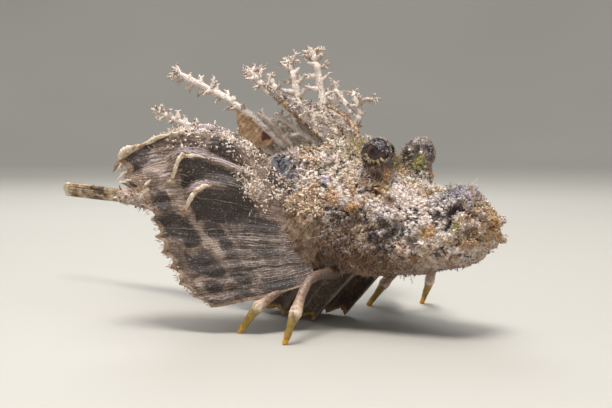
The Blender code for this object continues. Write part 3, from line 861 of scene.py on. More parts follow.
@dataclass
class SubAssembly(ABC):
    """One named part of the fish, which makes its pieces and dresses them."""

    @abstractmethod
    def build(self) -> None:
        """Makes every piece of the part."""

    def keep(self, form: Form, name: str, finish: Material, slot: Slot, *nodes: str) -> None:
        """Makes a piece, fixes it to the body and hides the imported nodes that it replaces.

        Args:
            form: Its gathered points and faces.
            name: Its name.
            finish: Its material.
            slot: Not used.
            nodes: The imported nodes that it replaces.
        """
        piece = form.make(name, finish)
        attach(piece, BODY)
        if nodes:
            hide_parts(*nodes)
        LOG.info("%s: %d faces", name, len(piece.data.polygons))


@dataclass
class Roots:
    """Where growths stand: the places, the outward directions, the unwrap and the skin's tint and height."""

    places: Array
    normals: Array
    home: Array
    tint: Array
    height: Array

    def only(self, rows: Array) -> "Roots":
        """Some of the roots, by their numbers."""
        return Roots(*(part[rows] for part in vars(self).values()))

    @property
    def x(self) -> Array:
        """How far forward each stands."""
        return self.places[:, 0]

    @property
    def out(self) -> Array:
        """How far each stands from the fish's middle plane."""
        return np.abs(self.places[:, 1])

    @property
    def z(self) -> Array:
        """How high each stands."""
        return self.places[:, 2]


Weight = Callable[[Roots], Array]


def everywhere(roots: Roots) -> Array:
    """The same on every part of a surface."""
    return np.ones(len(roots.places))


@dataclass
class Surface:
    """A skin that growths can be rooted on."""

    points: Array
    triangles: Array
    unwrap: Array
    tint: Array
    height: Array

    @classmethod
    def of(cls, form: Form, unwrap: Array, tint: Array | float = 0.5,
           height: Array | float = 1.0) -> "Surface":
        """Makes a surface from a gathered form.

        Args:
            form: The form.
            unwrap: Where each point lies on the unwrap.
            tint: The clump tint at each point, or one for all.
            height: The clump height at each point, or one for all.

        Returns:
            The surface.
        """
        points = np.concatenate(form.points)
        even = np.ones(len(points))
        return cls(points, cut_in_triangles(form.faces), unwrap, even * tint, even * height)

    def scatter(self, count: int, weight: Weight, draw: Draw) -> Roots:
        """Picks places at random, more where the weight is higher.

        Args:
            count: How many places.
            weight: How thick the growth is at a place, from the roots themselves.
            draw: The seeded source of chance.

        Returns:
            The places that were picked.
        """
        facing = outward(self.points, self.triangles)
        corners = self.points[self.triangles]
        area = np.linalg.norm(np.cross(corners[:, 1] - corners[:, 0], corners[:, 2] - corners[:, 0]), axis=1)
        first = self.triangles[:, 0]
        every = Roots(corners.mean(axis=1), unit(facing[self.triangles].sum(axis=1)), self.unwrap[first],
                      self.tint[first], self.height[first])
        total = np.cumsum(area * np.maximum(weight(every), 0.0))
        chosen = np.searchsorted(total, draw.uniform(0.0, total[-1], count))
        a, b = draw.uniform(size=(2, count, 1))
        over = (a + b) > 1.0
        a, b = np.where(over, 1.0 - a, a), np.where(over, 1.0 - b, b)
        start, second, third = (corners[chosen, k] for k in range(3))
        picked = every.only(chosen)
        picked.places = start + (second - start) * a + (third - start) * b
        return picked


@dataclass(frozen=True)
class Mouth:
    """The line of the mouth: an arch under the snout's hump, down to its corner and across the front."""

    line: tuple[Point, ...] = (
        (31.0, 0.0, 35.2), (30.3, 2.6, 34.6), (29.2, 4.9, 33.2), (28.3, 5.9, 34.2), (27.0, 6.6, 35.3),
        (25.4, 7.5, 35.9), (23.6, 8.9, 35.0), (22.6, 10.0, 33.2), (22.9, 10.4, 31.2), (22.4, 10.7, 29.6))

    def gap(self, points: Array) -> Array:
        """How far points lie from the line, in millimetres."""
        places, line = folded(points) + 0.5 * jostle(points, 1.6, 2, 51), rounded_line(self.line, 6)
        return np.min([np.linalg.norm(places - place, axis=1) for place in line], axis=0)

    def closeness(self, points: Array, width: float) -> Array:
        """One on the line of the mouth and nothing away from it."""
        return bump(self.gap(points), 0.0, width)

    def side(self, points: Array) -> Array:
        """Nothing across the front of the mouth and one on its sides."""
        return rise(np.abs(points[:, 1]), 4.0, 5.8)


MOUTH = Mouth()


def body_patch(points: Array) -> Array:
    """Where places on the body lie on its unwrap: along the fish, and round it."""
    return joined((points[:, 0] + 160.0) / 200.0, np.arctan2(points[:, 2] - 30.0, points[:, 1]) / TURN + 0.5)


def on_turret(points: Array) -> Array:
    """One on the eye turrets and nothing on the rest of the head."""
    near = (folded(points) - (0.2, 9.4, 47.5)) / (5.6, 5.6, 8.5)
    return rise(np.linalg.norm(near, axis=1), 1.15, 0.9) * rise(points[:, 2], 42.5, 44.5)


def crusted(points: Array) -> Array:
    """Reads how thick the crust is: most on the head, none on the dark patch and the turrets.

    Args:
        points: Where it is read.

    Returns:
        Its thickness from zero to one.
    """
    thick = 0.35 + 0.65 * rise(points[:, 0], -50.0, -22.0)
    thick *= 0.55 + 0.45 * rise(points[:, 2], 17.0, 27.0)
    for mark in BODY_MARKS:
        if mark.sink:
            thick = thick * (1.0 - 0.85 * mark.nearness(points))
    outer = rise(np.abs(points[:, 1]), 6.5, 9.0)
    return thick * (1.0 - (0.45 + 0.5 * outer) * on_turret(points)) * (1.0 - MOUTH.closeness(points, 1.15))


def clumps(points: Array) -> tuple[Array, Array]:
    """The clumps of growth that cover the body.

    Args:
        points: Where they are read, in millimetres.

    Returns:
        How high the clump stands, zero in the gaps, and its tint.
    """
    warp = jostle(points, 2.4, 3, 40)
    height, own = knobs(points + warp * 2.2, 3.6, 7)
    small, other = knobs(points + warp * 0.9, 1.4, 23)
    filled = 0.8 * rise(rough_noise(points, 4.0, 3, 61), -0.3, 0.25)
    height = np.maximum(height**0.6, filled * (0.75 + 0.25 * height))
    return height * (0.66 + 0.34 * small**0.6), np.where(other < 0.3, other / 0.3, own)


@dataclass
class Skin(SubAssembly):
    """One seamless skin over head, jaw, trunk and tail root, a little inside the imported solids."""

    nodes: tuple[str, ...] = ("head", "lower_jaw", "trunk", "tail_stalk")
    voxel: float = 0.86
    smoothing: int = 10
    depth: float = 1.1
    clump_height: float = 1.7
    mouth_depth: float = 1.4
    turret_depth: float = 0.3
    turret_size: Point = (5.1, 4.7, 8.8)
    turret_heart: tuple[float, float] = (9.2, 45.6)
    lump_size: float = 6.0
    lump_height: float = 0.5
    nostril: Point = (20.3, 5.2, 40.5)
    surface: Surface | None = field(default=None, init=False)

    def build(self) -> None:
        """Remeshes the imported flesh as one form, smooths it and raises its clumps and folds."""
        points, quads = self.remeshed(self.copied())
        points, quads = self.refined(self.smoothed(points, quads), quads)
        points = self.rounded(points)
        height, tint = clumps(points)
        thick = crusted(points)
        mouth = MOUTH.closeness(points, 0.95) * (0.5 + 0.5 * MOUTH.side(points))
        facing = outward(points, cut_in_triangles([quads]))
        points = points + facing * self.relief(points, height, thick)[:, None]
        # Where the crust is thin the height is raised, so the gaps there take less painted shade.
        height = 1.0 - (1.0 - height) * np.clip(thick * 1.3, 0.0, 1.0)
        height = height * (1.0 - mouth) - 0.35 * mouth**2
        form = Form()
        form.add(points, [quads], tint=tint, height=height, shade=0.42)
        self.keep(form, "body_skin", BodyFinish("devilfish_skin").material(), Slot.SKIN, *self.nodes)
        self.surface = Surface.of(form, body_patch(points), tint, height)

    def copied(self) -> bpy.types.Object:
        """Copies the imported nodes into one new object.

        Returns:
            The object.
        """
        form = Form()
        for node in self.nodes:
            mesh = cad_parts[node].data
            points = FISH.millimetres(np.array([vertex.co for vertex in mesh.vertices]))
            form.add(points, [np.array([polygon.vertices for polygon in mesh.polygons])])
        return form.make("flesh_guide", bpy.data.materials.new("guide"))

    def remeshed(self, shell: bpy.types.Object) -> tuple[Array, Array]:
        """Turns the joined nodes into one closed form of even quads.

        Args:
            shell: The object that holds the copies, which is removed.

        Returns:
            The points in millimetres and the quads.
        """
        remesh = shell.modifiers.new("One skin", "REMESH")
        remesh.mode = "VOXEL"
        remesh.voxel_size = self.voxel * MM
        mesh = bpy.data.meshes.new_from_object(shell.evaluated_get(bpy.context.evaluated_depsgraph_get()))
        points = np.empty(len(mesh.vertices) * 3, np.float32)
        mesh.vertices.foreach_get("co", points)
        quads = np.array([polygon.vertices for polygon in mesh.polygons if len(polygon.vertices) == 4])
        bpy.data.objects.remove(shell)
        bpy.data.meshes.remove(mesh)
        return FISH.millimetres(points.reshape(-1, 3)), quads

    def smoothed(self, points: Array, quads: Array) -> Array:
        """Rounds off the facets without shrinking the form.

        Args:
            points: The points.
            quads: The quads between them.

        Returns:
            The points after smoothing.
        """
        first, second = quads.T.ravel(), np.roll(quads, -1, axis=1).T.ravel()
        ends, starts = np.concatenate([first, second]), np.concatenate([second, first])
        count = np.bincount(ends, minlength=len(points))[:, None]
        for step in range(2 * self.smoothing):
            pull = 0.5 if step % 2 == 0 else -0.52
            sums = joined(*(np.bincount(ends, points[starts, k], len(points)) for k in range(3)))
            points = points + (sums / count - points) * pull
        return points

    def refined(self, points: Array, quads: Array) -> tuple[Array, Array]:
        """Splits each quad in four.

        Args:
            points: The points.
            quads: The quads.

        Returns:
            The finer points and quads.
        """
        edges = np.sort(np.concatenate([quads[:, (k, (k + 1) % 4)] for k in range(4)]), axis=1)
        keys, place = np.unique(edges[:, 0].astype(np.int64) * len(points) + edges[:, 1], return_inverse=True)
        middles = (points[keys // len(points)] + points[keys % len(points)]) / 2
        around = place.reshape(4, -1).T + len(points)
        heart = np.arange(len(quads)) + len(points) + len(middles)
        finer = [joined(quads[:, k], around[:, k], heart, around[:, k - 1]) for k in range(4)]
        return np.concatenate([points, middles, points[quads].mean(axis=1)]), np.concatenate(finer)

    def rounded(self, points: Array) -> Array:
        """Draws the tops of the turrets in to an even dome, and the tip of the snout a little back.

        Args:
            points: The smooth skin's points.

        Returns:
            The points with nothing left standing on the turrets.
        """
        points = points.copy()
        points[:, 0] -= 0.6 * np.maximum(points[:, 0] - 30.5, 0.0)
        out, level = self.turret_heart
        reach = points - joined(0.0, np.sign(points[:, 1]) * out, level)
        far = np.linalg.norm(reach / self.turret_size, axis=1)
        near = rise(points[:, 2], 49.5, 51.5) * (np.linalg.norm(reach[:, :2], axis=1) < 6.6)
        return points + reach * (near * (1.0 / np.maximum(far, 1.0) - 1.0))[:, None]

    def relief(self, points: Array, height: Array, thick: Array) -> Array:
        """How far the skin stands out at each point.

        Args:
            points: The smooth skin's points.
            height: How high each point lies on its clump.
            thick: How thick the crust is there.

        Returns:
            The step outward, from clumps, lumps, pits, lips, the mouth and the gill cover.
        """
        out = -self.depth + self.lump_height * rough_noise(points, self.lump_size, 2, 3)
        out += self.clump_height * height * thick + 0.5 * (1.0 - thick)
        out -= self.turret_depth * on_turret(points)
        gap = MOUTH.gap(points)
        side = 0.6 + 0.4 * MOUTH.side(points)
        out += 0.6 * bump(gap, 2.3, 0.9) - self.mouth_depth * side * bump(gap, 0.0, 0.8)
        out -= rise(points[:, 0], 23.0, 29.0) * (0.3 + 1.5 * rise(points[:, 2], 31.5, 36.0))
        gill_edge = points[:, 0] + 10.5 + 7.5 * (points[:, 1] / 17.0) ** 2
        out -= 0.9 * bump(gill_edge, 0.0, 0.7) * rise(points[:, 2], 46.0, 40.0)
        out -= 0.6 * bump(np.linalg.norm(folded(points) - self.nostril, axis=1), 0.0, 0.7)
        return out - sum(mark.sink * mark.nearness(points) for mark in BODY_MARKS)


@dataclass(frozen=True)
class Growth:
    """One kind of small growth over part of a surface."""

    name: str
    lie: Lie
    count: int
    length: tuple[float, float]
    width: tuple[float, float]
    weight: Weight
    finish: BodyFinish | CrustFinish
    seed: int
    lean: float = 0.6
    droop: float = 0.0
    stand: float = 0.6
    untidy: float = 0.35


GROWTH_LIMIT = 190000
PATCH = 0.003
TWIGS_A_STEM = 4
NO_LENGTH = (0.0, 0.0)
ROD_SHAPES = {
    Lie.FLAP: (4, 0.4, (0.7, 1.0, 0.9, 0.55)),
    Lie.THREAD: (3, 1.0, (1.0, 0.95, 0.85, 0.7, 0.5, 0.25)),
    Lie.TWIG: (4, 1.0, (1.0, 0.85, 0.8, 0.6, 0.35)),
}


def twig_lines(lines: Array, radii: Array, per_stem: int, draw: Draw) -> tuple[Array, Array]:
    """Side twigs for many stems at once.

    Args:
        lines: The stems, shaped (stems, steps, 3).
        radii: Their radii.
        per_stem: How many twigs each carries.
        draw: The seeded source of chance.

    Returns:
        The twigs' lines and radii, three steps each.
    """
    count, steps, _ = lines.shape
    stems = np.repeat(np.arange(count), per_stem)
    many = len(stems)
    place = draw.uniform(0.35, 0.98, many) * (steps - 1)
    step = np.minimum(place.astype(int), steps - 2)
    share = (place - step)[:, None]
    start = lines[stems, step] * (1 - share) + lines[stems, step + 1] * share
    along = unit(lines[stems, step + 1] - lines[stems, step])
    out = unit(np.cross(along, draw.normal(size=(many, 3))))
    reach = np.linalg.norm(lines[stems, -1] - lines[stems, 0], axis=1) * draw.uniform(0.25, 0.5, many)
    way = unit(out + along * draw.uniform(0.2, 0.9, (many, 1)))
    bend = unit(way + along * 0.4 + draw.normal(size=way.shape) * 0.25)
    half = reach[:, None] * 0.5
    made = np.stack([start, start + way * half, start + (way + bend) * half], axis=1)
    return made, radii[stems, step][:, None] * 0.75 * np.array((1.0, 0.75, 0.25))


@dataclass
class Crust(SubAssembly):
    """The coat of grains, ragged flaps, threads and twigs rooted on a surface."""

    surface: Surface
    growths: tuple[Growth, ...]
    slot: Slot = Slot.SKIN

    def build(self) -> None:
        """Grows every kind as one piece each, and stops with an error if a piece has more triangles than the
        limit. Grows every kind, in pieces of a size that the export takes.
        """
        for growth in self.growths:
            form = self.grow(growth)
            if form.triangles() > GROWTH_LIMIT:
                raise ValueError(f"{growth.name} has {form.triangles()} triangles")
            self.keep(form, growth.name, growth.finish.material(), self.slot)

    def grow(self, growth: Growth) -> Form:
        """Gathers one kind of growth as a joined mesh.

        Args:
            growth: What grows, where and how large.

        Returns:
            The gathered form.
        """
        draw = np.random.default_rng(growth.seed)
        roots = self.surface.scatter(growth.count, growth.weight, draw)
        width = growth.width[0] + (growth.width[1] - growth.width[0]) * draw.uniform(size=growth.count) ** 1.7
        shade = np.clip(0.52 + 0.18 * draw.normal(size=growth.count), 0.0, 1.0)
        form = Form()
        if growth.lie in PEBBLE_SHAPES:
            made = pebbles(growth.lie, roots.places, roots.normals, width, draw)
            self.dress(form, made, PEBBLE_SHAPES[growth.lie][0][:, :2] * 0.5 + 0.5, roots, shade, 0.5)
            return form
        lines, radii, facing = self.stems(growth, roots, width, draw)
        sides, flat, _ = ROD_SHAPES[growth.lie]
        self.plant(form, rods(lines, radii, sides, flat, facing), sides, roots, shade, 0.0)
        if growth.lie is Lie.TWIG:
            stems = np.repeat(np.arange(growth.count), TWIGS_A_STEM)
            made = rods(*twig_lines(lines, radii, TWIGS_A_STEM, draw), 3)
            self.plant(form, made, 3, roots.only(stems), shade[stems], 0.4)
        return form

    def stems(self, growth: Growth, roots: Roots, width: Array, draw: Draw) -> tuple[Array, Array, Array]:
        """Lays out flaps, threads or twigs on their roots.

        Args:
            growth: What grows.
            roots: Where the growths stand.
            width: Each one's half width.
            draw: The seeded source of chance.

        Returns:
            Their centre lines, their radii and the way that each one's flat face looks.
        """
        profile = ROD_SHAPES[growth.lie][2]
        count, steps, normals = growth.count, len(profile), roots.normals
        size = draw.uniform(0.0, 1.0, count) ** 1.6
        length = growth.length[0] + (growth.length[1] - growth.length[0]) * size
        chance = draw.normal(size=(count, 3))
        way = unit(normals * growth.stand + (-growth.lean, 0.0, -growth.droop) + growth.untidy * chance)
        way = unit(way + normals * np.maximum(0.15 - (way * normals).sum(axis=1, keepdims=True), 0.0) * 2.0)
        curl = unit(np.cross(way, draw.normal(size=(count, 3)))) * draw.uniform(0.1, 0.6, (count, 1))
        reach = length[:, None, None] * shares(steps)
        foot = roots.places - normals * 0.2
        lines = foot[:, None] + way[:, None] * reach + curl[:, None] * reach * shares(steps)
        radii = width[:, None] * np.array(profile) * draw.uniform(0.75, 1.25, (count, steps))
        return lines, radii, unit(normals + 0.5 * chance)

    def plant(self, form: Form, made: tuple, sides: int, roots: Roots, shade: Array, first: float) -> None:
        """Adds rods to the form.

        Args:
            form: The mesh that is being gathered.
            made: The rods' points and faces.
            sides: How many sides each has.
            roots: Where they stand.
            shade: Each one's shade.
            first: How far along its stem each one starts, from zero to one.
        """
        count, each, _ = made[0].shape
        steps = (each - 2) // sides
        along = rod_shares(count, steps, sides)
        local = joined(along[0], np.concatenate([np.tile(np.arange(sides) / sides, steps), (0.5, 0.5)]))
        self.dress(form, made, local, roots, shade, first + (1.0 - first) * along)

    def dress(self, form: Form, made: tuple, local: Array, roots: Roots, shade: Array,
              along: Array | float) -> None:
        """Adds growths to the form with the skin's own tint and height at their roots.

        Args:
            form: The mesh that is being gathered.
            made: The growths' points, shaped (growths, points each, 3), and their faces.
            local: Where each of a growth's points lies in its patch of the unwrap, from zero to one.
            roots: Where they stand.
            shade: Each growth's shade.
            along: How far along its growth each point lies.
        """
        patch = roots.home[:, None, :] + (local[None] - 0.5) * PATCH
        # Raised a little, so a growth takes less painted gap shade than the skin at its root.
        lifted = np.clip(roots.height + 0.2, 0.0, 1.0)
        form.add(*made, patch, shade=shade, tint=roots.tint, height=lifted, along=along)


def beyond_eyes(points: Array, reach: float = 4.4) -> Array:
    """Keeps growths off the eyeballs.

    Args:
        points: Where they might stand.
        reach: How far from the eye's front they start.

    Returns:
        One away from the eyes and nothing on them.
    """
    keep = np.ones(len(points))
    for side in Side:
        low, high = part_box(f"eye_{side.word}")
        front = FISH.millimetres(np.array((low + high) / 2)) + np.array((0.3, side.value * 0.93, 0.12)) * 3.0
        keep *= rise(np.linalg.norm(points - front, axis=1), reach - 0.8, reach)
    return keep


def tufted(roots: Roots) -> Array:
    """Close tufts with thin places between them."""
    return 0.1 + 0.9 * rise(rough_noise(roots.places, 3.4, 3, 92), -0.05, 0.25)


def on_crust(roots: Roots) -> Array:
    """Spreads the whole body's crust, thick on the head and thin under the belly, and absent from the gaps.

    Args:
        roots: Where it might grow.

    Returns:
        How thick it grows there.
    """
    upper = 0.35 + 0.65 * rise(roots.z + 4.0 * roots.normals[:, 2], 18.0, 30.0)
    front = 0.3 + 0.7 * rise(roots.x, -60.0, -20.0)
    clear = 1.0 - on_turret(roots.places) * rise(roots.z, 52.0, 53.0)
    clumped = rise(roots.height, 0.18, 0.5)
    return upper * front * clear * crusted(roots.places) * beyond_eyes(roots.places) * clumped


def on_head(roots: Roots) -> Array:
    """The head and nape alone."""
    return rise(roots.x, -26.0, -10.0) * on_crust(roots)


def on_face_rim(roots: Roots) -> Array:
    """The front of the jaw and the lips."""
    front = rise(roots.x, 22.0, 28.5) * rise(roots.z, 41.0, 37.0)
    return front * (0.3 + 0.7 * rise(roots.z, 22.0, 30.0)) * rise(roots.height, 0.0, 0.3)


def on_cheek(roots: Roots) -> Array:
    """The lower cheek and the throat behind the jaw."""
    return bump(roots.x, -7.0, 11.0) * bump(roots.z, 25.0, 7.0) * rise(roots.out, 7.0, 12.0)


def on_crown(roots: Roots) -> Array:
    """Spreads tufts on the crown, the nape and the ridge between the eyes, but not on the turrets.

    Args:
        roots: Where they might grow.

    Returns:
        How thick they grow there.
    """
    x, out, z = roots.x, roots.out, roots.z
    crown = bump(x, -11.0, 14.0) * rise(z, 42.0, 47.0) * rise(out, 9.5, 6.0)
    saddle = 0.7 * bump(x, -1.5, 5.0) * rise(z, 42.0, 45.0) * rise(out, 6.5, 4.0)
    snout = 0.5 * bump(x, 14.0, 8.0) * rise(z, 38.0, 41.0) * rise(out, 5.0, 2.0)
    return (crown + saddle + snout) * (1.0 - on_turret(roots.places))


def on_nape(roots: Roots) -> Array:
    """The nape between and behind the turrets, where the algae stand tallest."""
    return bump(roots.x, -6.5, 6.0) * rise(roots.z, 43.0, 46.0) * rise(roots.out, 7.0, 4.5)


def on_back(roots: Roots) -> Array:
    """The flanks and back behind the head."""
    return rise(roots.x, -16.0, -26.0) * (0.3 + 0.7 * rise(roots.z, 24.0, 34.0)) * crusted(roots.places)


def on_snout(roots: Roots) -> Array:
    """The finely granular hump of the snout."""
    return on_crust(roots) * bump(roots.x, 22.0, 7.0) * rise(roots.z, 34.0, 37.0)


def on_brow(roots: Roots) -> Array:
    """Spreads papillae on the top and the inner face of the turrets, over the eyes.

    Args:
        roots: Where they might grow.

    Returns:
        How thick they grow there.
    """
    places, look = roots.places, roots.normals
    inner = rise(-look[:, 1] * np.sign(places[:, 1]), 0.0, 0.4)
    upward = rise(look[:, 2], 0.05, 0.5) + 0.8 * rise(look[:, 0], 0.3, 0.8) + 0.8 * inner
    return on_turret(places) * rise(roots.z, 46.0, 49.0) * upward * beyond_eyes(places, 2.7)


def on_barrel(roots: Roots) -> Array:
    """The flanks of the turrets, below and round the eyes."""
    return on_turret(roots.places) * rise(roots.z, 53.0, 50.0) * beyond_eyes(roots.places, 3.3)


CRUST = (
    Growth("crust_fine_grains", Lie.SPECK, 9000, NO_LENGTH, (0.15, 0.38), on_head, BodyFinish("fine_grain"),
           1),
    Growth("crust_body_grains", Lie.SPECK, 4500, NO_LENGTH, (0.15, 0.4), on_crust, BodyFinish("body_grain"),
           10),
    Growth("crust_sand_grains", Lie.GRAIN, 4600, NO_LENGTH, (0.2, 0.52), on_crust, BodyFinish("sand_grain"),
           11),
    Growth("crust_lumps", Lie.GRAIN, 2700, NO_LENGTH, (0.3, 0.76), on_crust, BodyFinish("crust_lump"), 12),
    Growth("snout_grains", Lie.SPECK, 4600, NO_LENGTH, (0.12, 0.28), on_snout, BodyFinish("snout_grain"), 13),
    Growth("head_flaps", Lie.FLAP, 3500, (0.4, 1.4), (0.16, 0.44), on_head, BodyFinish("head_flap"), 2,
           stand=0.8),
    Growth("back_flaps", Lie.FLAP, 1950, (0.6, 2.0), (0.18, 0.45), on_back, BodyFinish("back_flap"), 3),
    Growth("head_twigs", Lie.TWIG, 400, (0.9, 2.4), (0.14, 0.26), on_head, BodyFinish("head_twig"), 4,
           stand=1.0),
    Growth("crown_tufts", Lie.TWIG, 420, (0.9, 3.2), (0.1, 0.18), on_crown,
           CrustFinish("crown_tuft", paint(98, 82, 50), paint(138, 126, 74), paint(182, 166, 114)), 5,
           stand=1.2, lean=0.3),
    Growth("jaw_fringe", Lie.FLAP, 1200, (0.3, 1.1), (0.12, 0.3), on_face_rim,
           CrustFinish("jaw_flap", paint(120, 84, 48), paint(180, 138, 82), paint(206, 172, 120), CREAM,
                       tip=paint(214, 168, 96)), 6, stand=0.7, lean=-0.1, droop=-0.5, untidy=0.7),
    Growth("cheek_threads", Lie.THREAD, 1500, (1.2, 3.4), (0.06, 0.13), on_cheek,
           CrustFinish("cheek_thread", UMBER, BROWN, TAN, SAND), 7, droop=0.9, stand=0.35),
    Growth("nape_tufts", Lie.TWIG, 220, (1.0, 3.4), (0.08, 0.14), on_nape,
           CrustFinish("nape_tuft", paint(104, 86, 58), paint(150, 134, 94), paint(188, 174, 132), SAND), 15,
           stand=1.4, lean=0.25, untidy=0.3),
    Growth("brow_papillae", Lie.FLAP, 1500, (0.2, 0.6), (0.1, 0.22), on_brow,
           CrustFinish("brow_papilla", paint(22, 20, 26), paint(52, 47, 52), paint(172, 168, 178), CHALK), 8,
           stand=1.5, lean=0.1, untidy=0.2),
    Growth("turret_striae", Lie.THREAD, 1000, (0.9, 2.2), (0.06, 0.11), on_barrel,
           CrustFinish("turret_stria", CHARCOAL, UMBER, BROWN, CREAM), 9, stand=0.12, lean=0.0, droop=1.0,
           untidy=0.12),
)


@dataclass
class Eye(SubAssembly):
    """One eye in its turret: the ball, and the lids that slant over it."""

    side: Side
    look: Point = (0.30, 0.93, 0.12)
    lid_reach: float = 3.75
    upper_tilt: float = 34.0
    upper_spread: float = 70.0
    lower_tilt: float = 192.0
    lower_spread: float = 58.0
    ticks: int = 30

    def build(self) -> None:
        """Makes the ball, the lids and the pale ticks on the lower lid."""
        word = self.side.word
        low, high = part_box(f"eye_{word}")
        self.centre = FISH.millimetres(np.array((low + high) / 2))
        self.radius = (high - low).x / MM / 2
        self.gaze = unit(np.array((self.look[0], self.side.value * self.look[1], self.look[2])))
        self.up = unit(np.array((0.0, 0.0, 1.0)) - self.gaze * self.gaze[2])
        self.ahead = unit(np.array((1.0, 0.0, 0.0)) - self.gaze * self.gaze[0])
        self.keep(self.ball(), f"eyeball_{word}", self.ball_finish(), Slot.EYE, f"eye_{word}")
        self.keep(self.lids(), f"eyelid_{word}", self.lid_finish(), Slot.SKIN)
        beads = CrustFinish(f"lid_papilla_{word}", CHARCOAL, UMBER, LAVENDER, CHALK)
        white = CrustFinish(f"lid_bead_{word}", LAVENDER, paint(190, 188, 200), CHALK, CHALK)
        growths = (
            Growth(f"lid_beads_{word}", Lie.SPECK, 260, NO_LENGTH, (0.11, 0.2), self.outside, white, 300),
            Growth(f"lid_papillae_{word}", Lie.FLAP, 420, (0.2, 0.5), (0.08, 0.16), self.outside, beads, 301,
                   stand=1.5, lean=0.2),
        )
        upper = Form()
        upper.add(*self.lid(self.upper_tilt, self.upper_spread, self.lid_reach, 61))
        Crust(Surface.of(upper, body_patch(upper.points[0])), growths).build()

    def outside(self, roots: Roots) -> Array:
        """The lid's outer face, away from the ball."""
        reach = np.linalg.norm(roots.places - self.centre, axis=1)
        return rise(reach, self.lid_reach - 0.5, self.lid_reach - 0.2)

    def place(self, angle: Array, reach: Array | float, out: float) -> Array:
        """Points round the line of sight: an angle from the top, a distance from it and one along it."""
        wheel = np.cos(angle)[:, None] * self.up + np.sin(angle)[:, None] * self.ahead
        return self.centre + wheel * np.asarray(reach)[..., None] + self.gaze * out

    def ball(self) -> Form:
        """Makes the eyeball with a slightly domed cornea, turned as a lathe about the line of sight.

        Returns:
            The form, which keeps each point's angle from the line of sight and its place across the eye.
        """
        polar, sides = np.linspace(0.02, math.pi - 0.02, 44), 64
        dome = self.radius * (1.0 + 0.06 * bump(polar, 0.0, 0.55))
        line = self.centre + self.gaze * (dome * np.cos(polar))[:, None]
        points, faces = rods(line[None], (dome * np.sin(polar))[None], sides, facing=self.up[None])
        seen = np.concatenate([np.repeat(polar, sides), (0.0, math.pi)])
        reach = points[0] - self.centre
        form = Form()
        form.add(points, faces, polar=seen, rise=reach @ self.up, ahead=reach @ self.ahead)
        return form

    def lid(self, tilt: float, spread: float, reach: float, seed: int) -> tuple[Array, list[Array]]:
        """One lid as a cap of a ball, with uneven folds that run along its edge.

        Args:
            tilt: Where the cap's middle lies, in degrees from the top toward the snout.
            spread: How far the cap reaches from its middle, in degrees.
            reach: The radius of the ball that it is cut from.
            seed: Which unevenness.

        Returns:
            The points and the faces.
        """
        turn = math.radians(tilt)
        middle = self.up * math.cos(turn) + self.ahead * math.sin(turn)
        polar = np.linspace(math.radians(spread), 0.05, 26)
        line = self.centre + middle * (reach * np.cos(polar))[:, None]
        folds = 1.0 + 0.03 * np.cos(polar * 42.0)
        points, faces = rods(line[None], (reach * np.sin(polar) * folds)[None], 60, facing=self.gaze[None])
        out = unit(points - self.centre)
        return points + out * (0.22 * rough_noise(points, 0.9, 3, seed))[..., None], faces

    def lids(self) -> Form:
        """Makes the two lids, with pale ticks that run down from the lower one's edge.

        Returns:
            The gathered form.
        """
        form = Form()
        draw = np.random.default_rng(70 + self.side.value)
        lower_reach = self.lid_reach - 0.15
        form.add(*self.lid(self.upper_tilt, self.upper_spread, self.lid_reach, 61), shade=0.12, along=1.0)
        form.add(*self.lid(self.lower_tilt, self.lower_spread, lower_reach, 62), shade=0.3, along=0.0)
        angle = math.radians(self.lower_tilt) + np.linspace(-1.15, 1.15, self.ticks)
        angle = angle + draw.normal(size=self.ticks) * 0.04
        near, far = self.place(angle, 2.2, 2.8), self.place(angle, draw.uniform(2.9, 4.1, self.ticks), 2.3)
        share = shares(5)
        lines = near[:, None] + (far - near)[:, None] * share + self.gaze * 0.5 * np.sin(math.pi * share)
        radii = draw.uniform(0.07, 0.13, (self.ticks, 1)) * np.array((0.5, 1.0, 1.1, 0.9, 0.4))
        form.add(*rods(lines, radii, 5), shade=draw.uniform(0.3, 1.0, self.ticks), along=0.0)
        return form

    def ball_finish(self) -> Material:
        """A wet eye: an oval brown pupil in a mauve-brown iris with streaks that run out from it.

        Returns:
            The finished material.
        """
        graph = Graph(f"eye_wet_{self.side.word}")
        high, wide = graph.value("rise"), graph.value("ahead")
        tall = graph.math("POWER", graph.math("DIVIDE", high, 1.4), 2.0)
        broad = graph.math("POWER", graph.math("DIVIDE", wide, 1.6), 2.0)
        oval = graph.math("POWER", graph.plus(tall, broad), 0.5)
        turn = graph.times(graph.math("ARCTAN2", high, wide), 23.0)
        streak = graph.math("SINE", graph.plus(turn, graph.times(graph.noise(0.8), 9.0)))
        soft = graph.plus(oval, graph.times(streak, 0.08))
        pupil, mauve, rim = paint(38, 22, 19), paint(82, 64, 58), paint(62, 50, 44)
        stops = ((0.18, pupil), (0.3, mauve), (0.4, mauve), (0.5, rim))
        graph.colour = graph.ramp(graph.math("DIVIDE", soft, 4.0), *stops)
        graph.lay(TAN, streak, 0.5, 1.0, graph.times(graph.step(oval, 1.2, 1.9), 0.4))
        graph.lay(UMBER, graph.value("polar"), 1.15, 1.35, 1.0)
        graph.bumps(graph.noise(0.5), 0.08, 0.05)
        return graph.finish(0.3, 0.1, 1.0, Coat_Weight=0.2, Coat_Roughness=0.1, Specular_IOR_Level=0.3)

    def lid_finish(self) -> Material:
        """The lids' finish: black and lavender above, olive and tan below.

        Returns:
            The finished material.
        """
        graph = Graph(f"eyelid_{self.side.word}")
        mixed = graph.plus(graph.value("shade"), graph.ragged(0.8, 4.0, 0.7, 1.3))
        above = graph.ramp(mixed, (0.1, CHARCOAL), (0.4, UMBER), (0.65, LAVENDER), (0.95, CHALK))
        below = graph.ramp(mixed, (0.1, UMBER), (0.4, paint(98, 80, 58)), (0.7, paint(146, 128, 84)),
                           (1.0, CREAM))
        graph.colour = graph.mix(graph.step(graph.value("along"), 0.35, 0.75), below, above)
        graph.bumps(graph.noise(0.4, 4.0, 0.7), 0.7, 0.2)
        return graph.finish(0.4, 0.3, 0.8)


